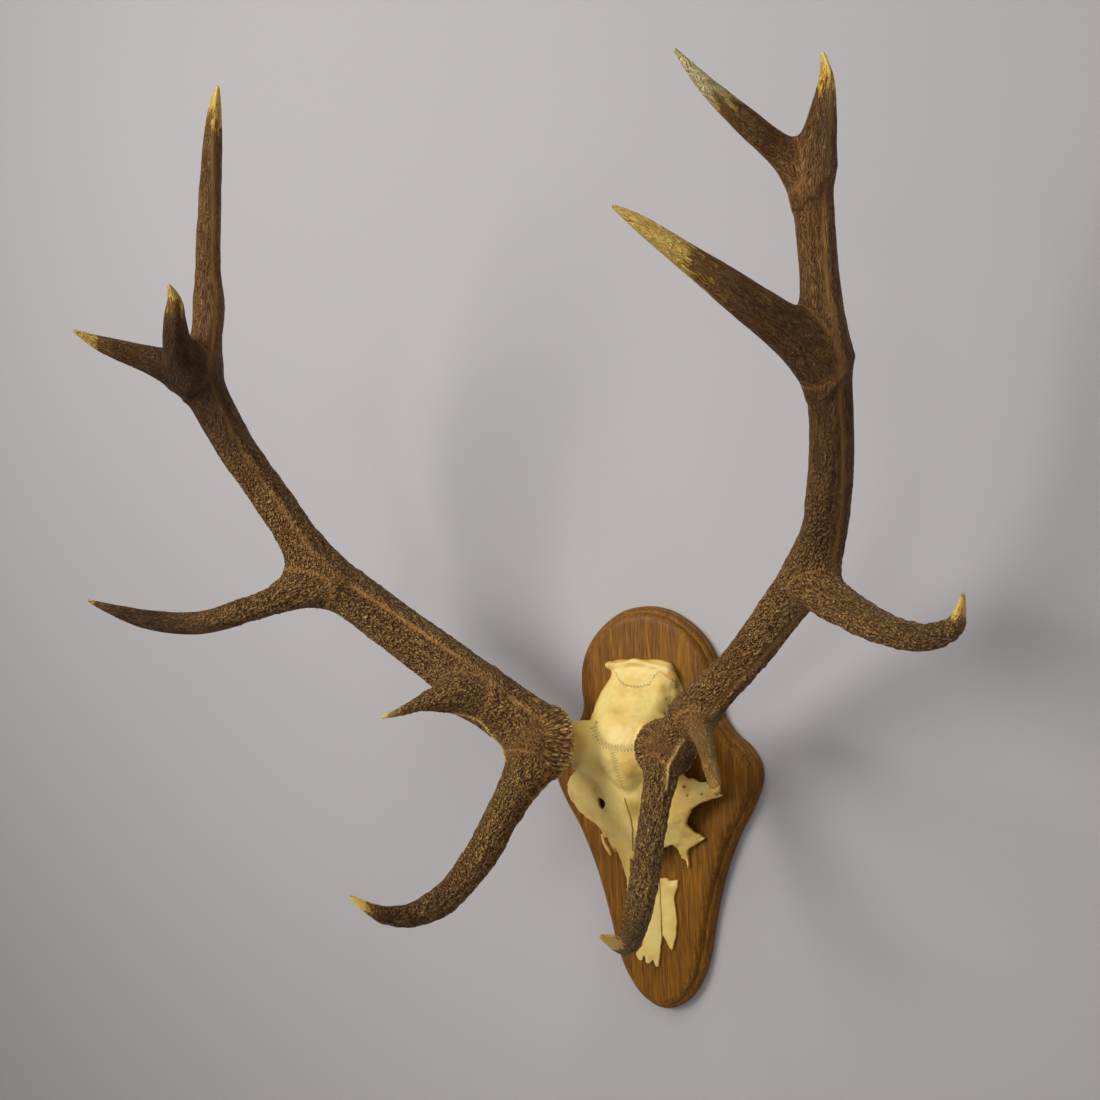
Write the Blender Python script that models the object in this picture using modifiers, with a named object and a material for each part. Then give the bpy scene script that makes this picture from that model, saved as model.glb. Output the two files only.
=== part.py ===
"""Red deer antler trophy: a skull cut flat behind, on a shield-shaped oak board.

Blender units are metres with +Z up. The origin is the middle of the board's back, which lies
against the wall. +X is the viewer's right, +Y points into the wall, and the trophy faces -Y.
Sizes below are millimetres. A place is written as (across, out, up): across is along +X, out is
the distance from the wall, and up is along +Z.
"""

import math

import bmesh
import bpy
from mathutils import Matrix, Vector, noise
from mathutils.geometry import intersect_point_line

MM = 0.001
OBJECT_NAME = "red_deer_antler_trophy"
# Gaps: between the board, bone and antlers, and at each fork where both faces are rough
GAP = 0.3
FORK_GAP = 0.5
# Points closer together than this are one point
WELD_DISTANCE = 0.02

# Finishes: linear red, green and blue, then roughness
OAK_FINISH = ((0.16, 0.07, 0.025), 0.4)
BONE_FINISH = ((0.72, 0.58, 0.32), 0.5)
ANTLER_FINISH = ((0.10, 0.055, 0.025), 0.6)

# Board: half of the shield's outline as (across, up), from the top to the bottom
BOARD_THICKNESS = 20.0
BOARD_EDGE_HEIGHT = 7.0
BOARD_HALF_OUTLINE = [
    (0, 207.5), (26, 203), (50, 189), (68, 170), (78, 148), (80.5, 125), (80, 100), (92, 80),
    (109, 65), (118.5, 48), (118, 28), (107, 2), (91, -25), (76, -60), (66.5, -90), (59, -120),
    (51.5, -152), (41, -177), (24, -198), (0, -207.5),
]
OUTLINE_SPACING = 14.0
# Moulded edge: each step goes this far in and this far up towards the front face
MOULDING_STEPS = [(0.8, 3.0), (3.6, 3.0), (1.4, 0.5), (3.6, 4.6), (3.0, 1.9)]
# A face whose normal agrees this well with the front's is part of the front
SAME_WAY = 0.9

# Skull: where the bone starts in front of the board
BONE_BACK = BOARD_THICKNESS + GAP
# Braincase and forehead: (up, half width, height out from the wall, squareness)
CRANIUM_SECTIONS = [
    (152, 29, 23, 1.0), (149, 37, 29, 0.9), (142, 42, 35, 0.8), (133, 43, 41, 0.7),
    (120, 48, 53, 0.75), (106, 51, 67, 0.8), (90, 52, 78, 0.7), (74, 52, 83, 0.6),
    (60, 50, 84, 0.5), (48, 41, 81, 0.5), (36, 31, 76, 0.5), (24, 22, 68, 0.5), (12, 15, 52, 0.5),
]
CRANIUM_POINTS = 13
# Face: (up, height of the middle ridge, fall towards the sides for each millimetre across)
FACE_ROWS = [
    (54, 66, 0.20), (38, 68, 0.36), (22, 66, 0.40), (5, 60, 0.38), (-12, 54, 0.44),
    (-28, 48, 0.50), (-44, 44, 0.60), (-62, 39, 0.56), (-92, 31, 0.50),
]
FACE_HALF_WIDTH = 94.0
FACE_COLUMNS = 12
FACE_RIDGE_WIDTH = 12.0
BONE_THICKNESS = 5.0
# Outline of the face as (across, up): the eye rims above, the broken nose below
FACE_OUTLINE = [
    (-46, 52), (-62, 45), (-80, 34), (-88, 23), (-87, 9), (-82, -4), (-68, -12), (-56, -21),
    (-47, -29), (-41, -47), (-37, -39), (-32, -53), (-30, -66), (-28, -87), (-21, -66),
    (-16, -46), (-9, -52), (-3, -40), (7, -47), (14, -37), (22, -35), (31, -31), (36, -38),
    (42, -57), (44, -37), (63, -25), (50, -13), (51, -4), (58, 8), (70, 15), (90, 21), (79, 32),
    (68, 37), (46, 44), (44, 52),
]
# Hole in front of the left eye, as a place, and the prism that the outline makes to trim the face
TEAR_HOLE = (-39, 50, 10)
TEAR_HOLE_RADIUS = 5.0
TEAR_HOLE_SIDES = 12
TRIMMING_DEPTH = 80.0
# Pedicles: (across, out, up, radius), given for the left side
PEDICLE_ROUTE = [(-24, 44, 70, 23), (-44, 72, 75, 21.5), (-61, 102, 79, 23)]

# Nose bones: outlines as (across, up)
NOSE_BONE_THICKNESS = 4.5
LEFT_NOSE_BONE = [
    (8.6, -67), (8.6, -106), (8, -130), (2.5, -160), (-1, -160), (-3, -153), (-8, -158),
    (-12, -157), (-13, -147), (-16, -156), (-20, -155), (-23, -149), (-15, -140), (-9, -108),
    (0, -78),
]
RIGHT_NOSE_BONE = [
    (9.4, -69), (18, -68), (20, -71), (30, -69), (29, -76), (24, -87), (26.5, -109), (24, -127),
    (19, -142), (9.4, -127),
]

# Antlers: a route is (across, out, up, radius) from root to tip
LEFT_ROUTES = {
    "left_beam": [
        (-39, 84, 60, 24), (-72, 104, 88, 27), (-109, 122, 118, 27.5),
        (-157, 138, 157, 25.5), (-202, 159, 197, 24), (-236, 178, 229, 24), (-266, 204, 266, 22),
        (-287, 232, 322, 19), (-307, 264, 380, 18.5), (-318, 292, 435, 20), (-316, 300, 460, 19),
        (-306, 303, 490, 14.5), (-297, 307, 522, 15), (-286, 316, 556, 11.5),
        (-266, 330, 602, 10.2), (-243, 346, 645, 8), (-224, 359, 676, 4.8), (-209, 368, 695, 1.4),
    ],
    "left_brow_tine": [
        (-66, 100, 82, 26), (-73, 119, 61, 24), (-78, 145, 38, 19), (-82, 171, 14, 16.5),
        (-87, 198, -14, 15.5), (-98, 234, -43, 14), (-110, 269, -54, 11), (-119, 298, -49, 8.5),
        (-126, 319, -37, 5), (-132, 333, -24, 1.4),
    ],
    "left_bez_tine": [
        (-112, 128, 128, 22), (-138, 163, 133, 13), (-153, 193, 125, 7.5), (-165, 213, 121, 4.5),
        (-174, 228, 117, 1.3),
    ],
    "left_tray_tine": [
        (-240, 180, 256, 25), (-276, 220, 243, 17), (-303, 249, 229, 12), (-345, 291, 216, 11.2),
        (-380, 325, 221, 9.5), (-404, 351, 234, 5), (-417, 368, 244, 1.4),
    ],
    "left_crown_front_tine": [
        (-322, 304, 452, 20), (-337, 321, 464, 15), (-351, 349, 475, 11.5), (-366, 379, 485, 7.5),
        (-379, 400, 497, 1.4),
    ],
    "left_crown_short_tine": [
        (-322, 306, 456, 18), (-310, 335, 477, 14), (-293, 354, 499, 10.5), (-279, 366, 514, 7),
        (-276, 375, 528, 1.4),
    ],
}
RIGHT_ROUTES = {
    "right_beam": [
        (40, 84, 58, 20), (76, 104, 86, 21), (120, 122, 126, 19),
        (169, 142, 167, 18), (218, 168, 212, 19), (254, 192, 249, 19.5), (273, 210, 281, 17),
        (291, 239, 333, 16.5), (301, 264, 387, 16.5), (303, 276, 434, 15.5), (305, 286, 475, 15),
        (308, 295, 512, 15), (315, 301, 543, 12), (321, 304, 568, 9.5), (324, 302, 592, 5.6),
        (321, 298, 613, 1.4),
    ],
    "right_brow_tine": [
        (65, 100, 78, 25), (71, 123, 60, 18), (76, 143, 42, 14.5), (82, 171, 12, 13),
        (89, 199, -16, 12.5), (97, 231, -40, 12), (108, 265, -53, 9.8), (117, 294, -50, 6),
        (121, 319, -39, 3.8), (123, 338, -30, 1.4),
    ],
    "right_bez_tine": [
        (94, 112, 112, 18), (115, 134, 104, 13.5), (130, 158, 98, 10), (143, 177, 90, 8.2),
        (157, 199, 78, 6.4), (174, 226, 62, 1.3),
    ],
    "right_tray_tine": [
        (238, 184, 232, 22), (284, 218, 213, 16), (326, 257, 199, 11.5), (366, 295, 193, 10),
        (398, 329, 200, 7), (411, 352, 214, 3.6), (417, 366, 225, 1.4),
    ],
    "right_crown_inner_tine": [
        (303, 262, 388, 19), (287, 293, 413, 17), (262, 335, 443, 14), (236, 366, 470, 9.5),
        (212, 383, 493, 6), (194, 391, 508, 1.4),
    ],
    "right_crown_upper_tine": [
        (309, 296, 518, 14), (293, 311, 541, 12), (275, 337, 564, 9.8), (258, 362, 586, 6.2),
        (242, 377, 611, 1.4),
    ],
}
# Every tine is cut by the beam of its side, and this one by its neighbour too
ALSO_CUT_BY = {"left_crown_short_tine": ["left_crown_front_tine"]}
ROUTE_SPACING = 17.0
# How round each kind of branch is, by the last word of its name
BEVEL_RESOLUTIONS = {"beam": 5, "brow_tine": 3, "tray_tine": 3}
SLENDER_BEVEL_RESOLUTION = 2
PEDICLE_BEVEL_RESOLUTION = 3
# The antler is a little flatter from front to back than across
FLATNESS = 0.82
INNER_FRONT_DIRECTION = Vector((0.53, -0.848, 0.0))
# Ridges: depth as a share of the radius, how many there are round the branch, and their length
RIDGE_DEPTH = 0.14
RIDGES_AROUND = 2.6
RIDGE_LENGTH = 55.0
# Pearls: how high they stand, how far apart they are, and the share of places that has one
PEARL_HEIGHT = 1.6
PEARL_SPACING = 5.3
PEARL_SHARE = 0.30
# Each point is smooth for the first of these lengths from its tip, and fully rough past the second
SMOOTH_TIP = 18.0
ROUGH_PAST = 63.0
# Foot of each antler: a short cone inside a ring of lumps, flat where it grew on the skull
FOOT_CENTRES = {"left_beam": (-59, 96, 79), "right_beam": (63, 96, 75)}
FOOT_AXES = {"left_beam": (-0.42, 0.89, 0.15), "right_beam": (0.42, 0.89, 0.15)}
FOOT_SIZES = {"left_beam": 1.0, "right_beam": 0.87}
FOOT_LUMPS = 16
# From the skull side outwards: (height, radius in the dips, radius on the lumps)
FOOT_RINGS = [(0, 30, 33), (4, 33.5, 38), (9, 31, 33), (24, 24.5, 25)]
FOOT_OVERLAP = 5.0
SAW_SIZE = 200.0


def place(across, out, up):
    """World place in metres of a point given in millimetres."""
    return Vector((across, -out, up)) * MM


def new_collection(name):
    """Add a collection to the scene."""
    collection = bpy.data.collections.new(name)
    bpy.context.scene.collection.children.link(collection)
    return collection


def finish(name, colour, roughness):
    """A plain material with the colour as linear red, green and blue."""
    material = bpy.data.materials.new(name)
    material.use_nodes = True
    shader = material.node_tree.nodes["Principled BSDF"]
    shader.inputs["Base Color"].default_value = (*colour, 1.0)
    shader.inputs["Roughness"].default_value = roughness
    shader.inputs["Metallic"].default_value = 0.0
    material.diffuse_color = (*colour, 1.0)
    return material


def add_object(name, mesh, collection):
    """Put a mesh in the scene as an object."""
    piece = bpy.data.objects.new(name, mesh)
    collection.objects.link(piece)
    return piece


def object_from(built, name, collection):
    """Turn worked-out geometry into an object."""
    mesh = bpy.data.meshes.new(name)
    built.to_mesh(mesh)
    built.free()
    return add_object(name, mesh, collection)


def evaluated_copy(name, source, collection):
    """Turn what an object shows, with its curves and modifiers, into a new mesh object."""
    graph = bpy.context.evaluated_depsgraph_get()
    shown = source.evaluated_get(graph)
    mesh = bpy.data.meshes.new_from_object(shown, depsgraph=graph)
    built = bmesh.new()
    built.from_mesh(mesh)
    bmesh.ops.remove_doubles(built, verts=built.verts, dist=WELD_DISTANCE * MM)
    bmesh.ops.recalc_face_normals(built, faces=built.faces)
    built.to_mesh(mesh)
    built.free()
    piece = add_object(name, mesh, collection)
    piece.matrix_world = source.matrix_world.copy()
    bpy.data.objects.remove(source)
    return piece


def triangulate(piece):
    """Split the bent faces of a piece into triangles, which a Boolean reads exactly."""
    built = bmesh.new()
    built.from_mesh(piece.data)
    bmesh.ops.triangulate(built, faces=built.faces)
    built.to_mesh(piece.data)
    built.free()


def boolean(piece, other, operation):
    """Cut a piece with another, or join the two, and keep only the result."""
    triangulate(piece)
    triangulate(other)
    modifier = piece.modifiers.new(operation.title(), "BOOLEAN")
    modifier.operation = operation
    modifier.solver = "EXACT"
    modifier.use_self = True
    modifier.object = other
    graph = bpy.context.evaluated_depsgraph_get()
    mesh = bpy.data.meshes.new_from_object(piece.evaluated_get(graph), depsgraph=graph)
    piece.modifiers.clear()
    piece.data = mesh
    bpy.data.objects.remove(other)


def loft(name, rings, collection):
    """Join rings of places, all with as many points, into one closed solid."""
    built = bmesh.new()
    rows = [[built.verts.new(point) for point in ring] for ring in rings]
    count = len(rows[0])
    for lower, upper in zip(rows, rows[1:]):
        for index in range(count):
            following = (index + 1) % count
            built.faces.new((lower[index], lower[following], upper[following], upper[index]))
    built.faces.new(rows[0])
    built.faces.new(rows[-1])
    bmesh.ops.recalc_face_normals(built, faces=built.faces)
    return object_from(built, name, collection)


def flat_outline(name, outline, start, thickness, collection):
    """Extrude a closed outline of (across, up) points outwards from the wall."""
    curve = bpy.data.curves.new(name, "CURVE")
    curve.dimensions = "2D"
    curve.fill_mode = "BOTH"
    curve.extrude = thickness * MM / 2
    curve.render_resolution_u = 0
    spline = curve.splines.new("POLY")
    spline.points.add(len(outline) - 1)
    for point, (across, up) in zip(spline.points, outline):
        point.co = (across * MM, up * MM, 0.0, 1.0)
    spline.use_cyclic_u = True
    source = add_object(name + "_outline", curve, collection)
    source.matrix_world = Matrix.Translation(place(0, start + thickness / 2, 0)) @ Matrix.Rotation(
        math.pi / 2, 4, "X"
    )
    return evaluated_copy(name, source, collection)


def catmull_rom(before, start, end, after, along):
    """Value between start and end on the smooth curve through four values."""
    return 0.5 * (
        2 * start
        + (end - before) * along
        + (2 * before - 5 * start + 4 * end - after) * along**2
        + (3 * start - before - 3 * end + after) * along**3
    )


def smooth_rows(points, spacing):
    """Read a smooth curve through rows of numbers, about one row for each spacing."""
    rows = [tuple(points[0])]
    for index in range(len(points) - 1):
        before = points[max(index - 1, 0)]
        start = points[index]
        end = points[index + 1]
        after = points[min(index + 2, len(points) - 1)]
        steps = max(1, round(math.dist(start[:3], end[:3]) / spacing))
        for step in range(1, steps + 1):
            along = step / steps
            values = zip(before, start, end, after)
            rows.append(tuple(catmull_rom(*value, along) for value in values))
    return rows


def swept_branch(name, rows, bevel_resolution, collection):
    """A round tube along the rows, as thick at each row as its radius says."""
    curve = bpy.data.curves.new(name, "CURVE")
    curve.dimensions = "3D"
    curve.bevel_depth = MM
    curve.bevel_resolution = bevel_resolution
    curve.use_fill_caps = True
    curve.render_resolution_u = 0
    spline = curve.splines.new("POLY")
    spline.points.add(len(rows) - 1)
    for point, (across, out, up, radius) in zip(spline.points, rows):
        point.co = (*place(across, out, up), 1.0)
        point.radius = radius
    source = add_object(name + "_route", curve, collection)
    return evaluated_copy(name, source, collection)


def nearest_on_route(spot, rows):
    """Nearest point of a route to a spot, with how far along the route it lies in millimetres."""
    best = None
    passed = 0.0
    for start, end in zip(rows, rows[1:]):
        low = place(*start[:3])
        high = place(*end[:3])
        run = (high - low).length / MM
        nearest, share = intersect_point_line(spot, low, high)
        share = min(max(share, 0.0), 1.0)
        nearest = low.lerp(high, share)
        distance = (spot - nearest).length
        if best is None or distance < best[0]:
            best = (distance, nearest, passed + share * run)
        passed += run
    return best[1], best[2], passed


def roughen(branch, rows):
    """Flatten a branch a little and raise its lengthwise ridges and its pearls."""
    for vertex in branch.data.vertices:
        centre, along, length = nearest_on_route(vertex.co, rows)
        outward = vertex.co - centre
        squeezed = INNER_FRONT_DIRECTION * outward.dot(INNER_FRONT_DIRECTION)
        outward -= squeezed * (1 - FLATNESS)
        rough = (length - along - SMOOTH_TIP) / (ROUGH_PAST - SMOOTH_TIP)
        rough = min(1.0, max(0.0, rough))
        around = outward.normalized() * RIDGES_AROUND
        ridge = noise.noise(around + Vector((0.0, 0.0, along / RIDGE_LENGTH)))
        pearl = noise.cell(vertex.co / (PEARL_SPACING * MM)) < PEARL_SHARE
        outward *= 1 + RIDGE_DEPTH * ridge * rough
        outward += outward.normalized() * PEARL_HEIGHT * MM * pearl * rough
        vertex.co = centre + outward


def swollen_copy(piece, distance, collection):
    """A copy of a piece with every vertex moved outwards, to cut a gap around it."""
    copy = add_object(piece.name + "_cutter", piece.data.copy(), collection)
    for vertex in copy.data.vertices:
        vertex.co += vertex.normal * distance * MM
    return copy


def keep_largest_body(piece):
    """Drop the slivers that a cut leaves apart from the main body."""
    built = bmesh.new()
    built.from_mesh(piece.data)
    unseen = set(built.verts)
    bodies = []
    while unseen:
        body = set()
        edge = [unseen.pop()]
        while edge:
            vertex = edge.pop()
            body.add(vertex)
            near = [link.other_vert(vertex) for link in vertex.link_edges]
            fresh = [other for other in near if other in unseen]
            unseen.difference_update(fresh)
            edge.extend(fresh)
        bodies.append(body)
    main_body = max(bodies, key=len)
    slivers = [vertex for vertex in built.verts if vertex not in main_body]
    bmesh.ops.delete(built, geom=slivers, context="VERTS")
    built.to_mesh(piece.data)
    built.free()


def foot_frame(beam_name):
    """Frame of an antler's foot, with its Z axis pointing out of the skull."""
    axis = place(*FOOT_AXES[beam_name]).normalized()
    turned = axis.to_track_quat("Z", "Y").to_matrix().to_4x4()
    return Matrix.Translation(place(*FOOT_CENTRES[beam_name])) @ turned


def saw(frame, start, end, collection):
    """A block that covers one side of a foot's plane, from start to end along the foot's axis."""
    built = bmesh.new()
    middle = Matrix.Translation((0, 0, (start + end) / 2 * MM))
    size = Matrix.Diagonal((SAW_SIZE * MM, SAW_SIZE * MM, (end - start) * MM, 1))
    bmesh.ops.create_cube(built, size=1, matrix=frame @ middle @ size)
    return object_from(built, "saw", collection)


def add_foot(beam, collection):
    """Give an antler its foot, a cone with a ring of lumps, in place of the tube's own end."""
    frame = foot_frame(beam.name)
    rings = []
    for height, dip, lump in FOOT_RINGS:
        ring = []
        for index in range(2 * FOOT_LUMPS):
            turn = math.pi * index / FOOT_LUMPS
            radius = (lump if index % 2 else dip) * FOOT_SIZES[beam.name]
            spot = Vector((radius * math.cos(turn), radius * math.sin(turn), height)) * MM
            ring.append(frame @ spot)
        rings.append(ring)
    foot = loft("foot", rings, collection)
    boolean(beam, saw(frame, -SAW_SIZE, FOOT_OVERLAP, collection), "DIFFERENCE")
    boolean(beam, foot, "UNION")


def build_board(parts):
    """The shield: its outline filled, with the front edge stepped in as a moulding."""
    half = smooth_rows([(across, 0, up) for across, up in BOARD_HALF_OUTLINE], OUTLINE_SPACING)
    right = [(across, up) for across, _, up in half]
    left = [(-across, up) for across, up in reversed(right[1:-1])]
    board = flat_outline("oak_board", right + left, 0.0, BOARD_EDGE_HEIGHT, parts)
    built = bmesh.new()
    built.from_mesh(board.data)
    to_board = board.matrix_world.inverted()
    outwards = (to_board.to_3x3() @ Vector((0, -1, 0))).normalized()
    flat = [face for face in built.faces if face.normal.dot(outwards) > SAME_WAY]
    front = bmesh.ops.dissolve_faces(built, faces=flat)["region"]
    for inset, rise in MOULDING_STEPS:
        bmesh.ops.inset_region(
            built, faces=front, thickness=inset * MM, depth=rise * MM, use_even_offset=True
        )
    built.to_mesh(board.data)
    built.free()
    return board


def cranium_ring(up, half_width, height, squareness):
    """One arch of the braincase with its flat back, as places."""
    ring = []
    for index in range(CRANIUM_POINTS):
        turn = math.pi * index / (CRANIUM_POINTS - 1)
        across = half_width * math.cos(turn)
        rise = max(math.sin(turn), 0.0) ** squareness
        ring.append(place(across, BONE_BACK + (height - BONE_BACK) * rise, up))
    return ring


def face_height(across, up):
    """How far the face stands out from the wall at a place."""
    rows = sorted(FACE_ROWS)
    for low, high in zip(rows, rows[1:]):
        if up <= high[0]:
            share = (up - low[0]) / (high[0] - low[0])
            ridge = low[1] + (high[1] - low[1]) * share
            fall = low[2] + (high[2] - low[2]) * share
            return ridge - fall * (math.hypot(across, FACE_RIDGE_WIDTH) - FACE_RIDGE_WIDTH)
    return rows[-1][1]


def face_sheet(parts, cutters):
    """The bones of the face: a bent sheet of bone trimmed to its broken outline."""
    top = FACE_ROWS[0][0]
    bottom = FACE_ROWS[-1][0]
    built = bmesh.new()
    bmesh.ops.create_grid(built, x_segments=FACE_COLUMNS, y_segments=FACE_COLUMNS, size=1.0)
    for vertex in built.verts:
        across = vertex.co.x * FACE_HALF_WIDTH
        up = bottom + (top - bottom) * (vertex.co.y + 1) / 2
        vertex.co = place(across, face_height(across, up), up)
    bmesh.ops.recalc_face_normals(built, faces=built.faces)
    sheet = object_from(built, "face_sheet", parts)
    thick = sheet.modifiers.new("Bone thickness", "SOLIDIFY")
    thick.thickness = BONE_THICKNESS * MM
    facing_out = sheet.data.polygons[0].normal.y < 0
    thick.offset = -1.0 if facing_out else 1.0
    face = evaluated_copy("face", sheet, parts)
    outline = flat_outline("face_outline", FACE_OUTLINE, BONE_BACK, TRIMMING_DEPTH, cutters)
    boolean(face, outline, "INTERSECT")
    return face


def build_skull(parts, cutters):
    """Braincase, face and the two pedicles as one bone, cut flat where it lies on the board."""
    rings = [cranium_ring(*section) for section in CRANIUM_SECTIONS]
    skull = loft("skull", rings, parts)
    boolean(skull, face_sheet(parts, cutters), "UNION")
    for side, beam_name in ((1, "left_beam"), (-1, "right_beam")):
        route = [(side * across, out, up, radius) for across, out, up, radius in PEDICLE_ROUTE]
        rows = smooth_rows(route, ROUTE_SPACING)
        pedicle = swept_branch("pedicle", rows, PEDICLE_BEVEL_RESOLUTION, parts)
        above_foot = saw(foot_frame(beam_name), -GAP, SAW_SIZE, cutters)
        boolean(pedicle, above_foot, "DIFFERENCE")
        boolean(skull, pedicle, "UNION")
    bpy.ops.mesh.primitive_cylinder_add(
        vertices=TEAR_HOLE_SIDES,
        radius=TEAR_HOLE_RADIUS * MM,
        depth=TRIMMING_DEPTH * MM,
        location=place(*TEAR_HOLE),
        rotation=(math.pi / 2, 0, 0),
    )
    boolean(skull, bpy.context.object, "DIFFERENCE")
    bpy.ops.mesh.primitive_cube_add(size=1, location=place(0, BONE_BACK - SAW_SIZE / 2, 0))
    flat_cut = bpy.context.object
    flat_cut.scale = (2 * SAW_SIZE * MM, SAW_SIZE * MM, 3 * SAW_SIZE * MM)
    bpy.context.view_layer.update()
    boolean(skull, flat_cut, "DIFFERENCE")
    return skull


def build_nose_bones(parts):
    """The two slender bones of the broken nose, lying on the board."""
    outlines = {"left_nose_bone": LEFT_NOSE_BONE, "right_nose_bone": RIGHT_NOSE_BONE}
    bones = []
    for name, outline in outlines.items():
        bone = flat_outline(name, outline, BONE_BACK, NOSE_BONE_THICKNESS, parts)
        bones.append(bone)
    return bones


def build_antlers(parts, cutters):
    """Both antlers, each tine with a fine gap round its root where it leaves the beam."""
    branches = []
    swollen = {}
    for name, route in {**LEFT_ROUTES, **RIGHT_ROUTES}.items():
        side, kind = name.split("_", 1)
        rows = smooth_rows(route, ROUTE_SPACING)
        resolution = BEVEL_RESOLUTIONS.get(kind, SLENDER_BEVEL_RESOLUTION)
        branch = swept_branch(name, rows, resolution, parts)
        roughen(branch, rows)
        neighbours = [side + "_beam", *ALSO_CUT_BY.get(name, [])]
        if kind == "beam":
            add_foot(branch, parts)
            neighbours = []
        swollen[name] = swollen_copy(branch, FORK_GAP, cutters)
        for neighbour in neighbours:
            cutter = add_object("root_cutter", swollen[neighbour].data.copy(), cutters)
            boolean(branch, cutter, "DIFFERENCE")
        keep_largest_body(branch)
        branches.append(branch)
    for cutter in swollen.values():
        bpy.data.objects.remove(cutter)
    return branches


def main():
    """Build every piece of the trophy."""
    for leftover in list(bpy.data.objects):
        bpy.data.objects.remove(leftover)
    parts = new_collection(OBJECT_NAME)
    cutters = new_collection("cutters")
    oak = finish("oak", *OAK_FINISH)
    bone = finish("bone", *BONE_FINISH)
    antler = finish("antler", *ANTLER_FINISH)

    board = build_board(parts)
    board.data.materials.append(oak)
    skull = build_skull(parts, cutters)
    branches = build_antlers(parts, cutters)
    for piece in [skull, *build_nose_bones(parts)]:
        piece.data.materials.clear()
        piece.data.materials.append(bone)
    for branch in branches:
        branch.data.materials.clear()
        branch.data.materials.append(antler)
        for polygon in branch.data.polygons:
            polygon.use_smooth = True


main()
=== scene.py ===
"""Red deer antler trophy: two pearled antlers on a cut skull, on an oak shield with a moulded edge.

Places in the tables are (across, out, up) in millimetres from the middle of the board's back:
across is to the viewer's right, out is away from the wall and up is up. Meshes are in metres.
"""

from __future__ import annotations

import logging
import math
from collections.abc import Callable
from dataclasses import dataclass, field, replace
from enum import Enum
from functools import cached_property

import bmesh
import bpy
import numpy as np
from mathutils import Matrix, Vector
from mathutils.geometry import delaunay_2d_cdt

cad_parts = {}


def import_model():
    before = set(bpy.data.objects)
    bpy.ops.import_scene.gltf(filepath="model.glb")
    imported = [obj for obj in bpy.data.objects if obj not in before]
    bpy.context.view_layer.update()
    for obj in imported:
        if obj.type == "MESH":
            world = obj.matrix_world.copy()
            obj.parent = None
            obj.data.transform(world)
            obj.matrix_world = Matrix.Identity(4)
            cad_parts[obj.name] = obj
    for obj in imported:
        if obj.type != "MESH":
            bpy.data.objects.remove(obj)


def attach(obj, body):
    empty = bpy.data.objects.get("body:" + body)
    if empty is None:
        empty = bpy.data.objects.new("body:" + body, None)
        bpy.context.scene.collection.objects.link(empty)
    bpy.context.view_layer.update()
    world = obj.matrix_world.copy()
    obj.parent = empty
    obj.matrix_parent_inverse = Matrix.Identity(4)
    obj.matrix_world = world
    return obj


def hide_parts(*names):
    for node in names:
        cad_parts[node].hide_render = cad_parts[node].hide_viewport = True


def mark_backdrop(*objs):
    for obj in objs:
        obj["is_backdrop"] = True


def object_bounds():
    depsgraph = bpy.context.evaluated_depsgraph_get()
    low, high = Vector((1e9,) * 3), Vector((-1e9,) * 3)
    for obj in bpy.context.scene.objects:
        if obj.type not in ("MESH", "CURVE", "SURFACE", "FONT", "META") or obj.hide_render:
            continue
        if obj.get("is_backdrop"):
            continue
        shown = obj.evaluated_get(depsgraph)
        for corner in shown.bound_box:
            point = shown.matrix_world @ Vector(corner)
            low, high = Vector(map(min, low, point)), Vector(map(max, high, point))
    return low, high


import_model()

log = logging.getLogger("trophy")
Array = np.ndarray
Table = tuple[tuple[float, ...], ...]
Material = bpy.types.Material
Mesh = bpy.types.Mesh
Node = bpy.types.Node
Piece = bpy.types.Object
Socket = bpy.types.NodeSocket
Solid = bmesh.types.BMesh
Tree = bpy.types.NodeTree
MM = 0.001
# Direction of the antlers' inner front faces, which are a little flatter than their sides
INNER_FRONT = np.array((0.53, -0.848, 0.0))
UP = np.array((0.0, 0.0, 1.0))
# Distances in millimetres that stand for "nowhere near" a seam, a blood channel or a limb
NO_SEAM = 50.0
NO_CHANNEL = 40.0
NO_LIMB = 500.0


class Slot(Enum):
    """The record's material slots."""

    OAK = "oak"
    BONE = "bone"
    ANTLER = "antler"


def linear(hex_colour: str) -> tuple[float, float, float, float]:
    """Turn an sRGB hex colour into linear red, green, blue and alpha.

    Args:
        hex_colour: The colour as "#rrggbb".

    Returns:
        Linear channels, each from 0 to 1, with alpha 1.
    """
    channels = [int(hex_colour[start : start + 2], 16) / 255 for start in (1, 3, 5)]
    curved = [c / 12.92 if c <= 0.04045 else ((c + 0.055) / 1.055) ** 2.4 for c in channels]
    return (*curved, 1.0)


def ease(low: float, high: float, values: Array) -> Array:
    """Rise smoothly from 0 at low to 1 at high: 3t squared less 2t cubed.

    Args:
        low: Where the rise starts.
        high: Where it ends.
        values: Numbers to read it at.

    Returns:
        One share from 0 to 1 for each value.
    """
    share = np.clip((values - low) / (high - low), 0.0, 1.0)
    return share * share * (3.0 - 2.0 * share)


def hill(gap: Array, reach: float) -> Array:
    """Rise to 1 where a gap is nothing, and fade out past its reach."""
    return np.exp(-((gap / reach) ** 2))


def lattice_value(cells: Array, seed: int) -> Array:
    """Give each whole-numbered cell of space its own number, by multiplying and mixing bits.

    Args:
        cells: Whole numbers, three for each cell in the last axis.
        seed: Changes every number.

    Returns:
        Numbers from 0 to 1.
    """
    mixed = cells[..., 0] * 73856093 ^ cells[..., 1] * 19349663 ^ cells[..., 2] * 83492791
    mixed = (mixed ^ (seed * 2654435761)) & 0xFFFFFFFF
    mixed = ((mixed ^ (mixed >> 15)) * 2246822519) & 0xFFFFFFFF
    mixed = ((mixed ^ (mixed >> 13)) * 3266489917) & 0xFFFFFFFF
    return (mixed ^ (mixed >> 16)) / 0xFFFFFFFF


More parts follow.
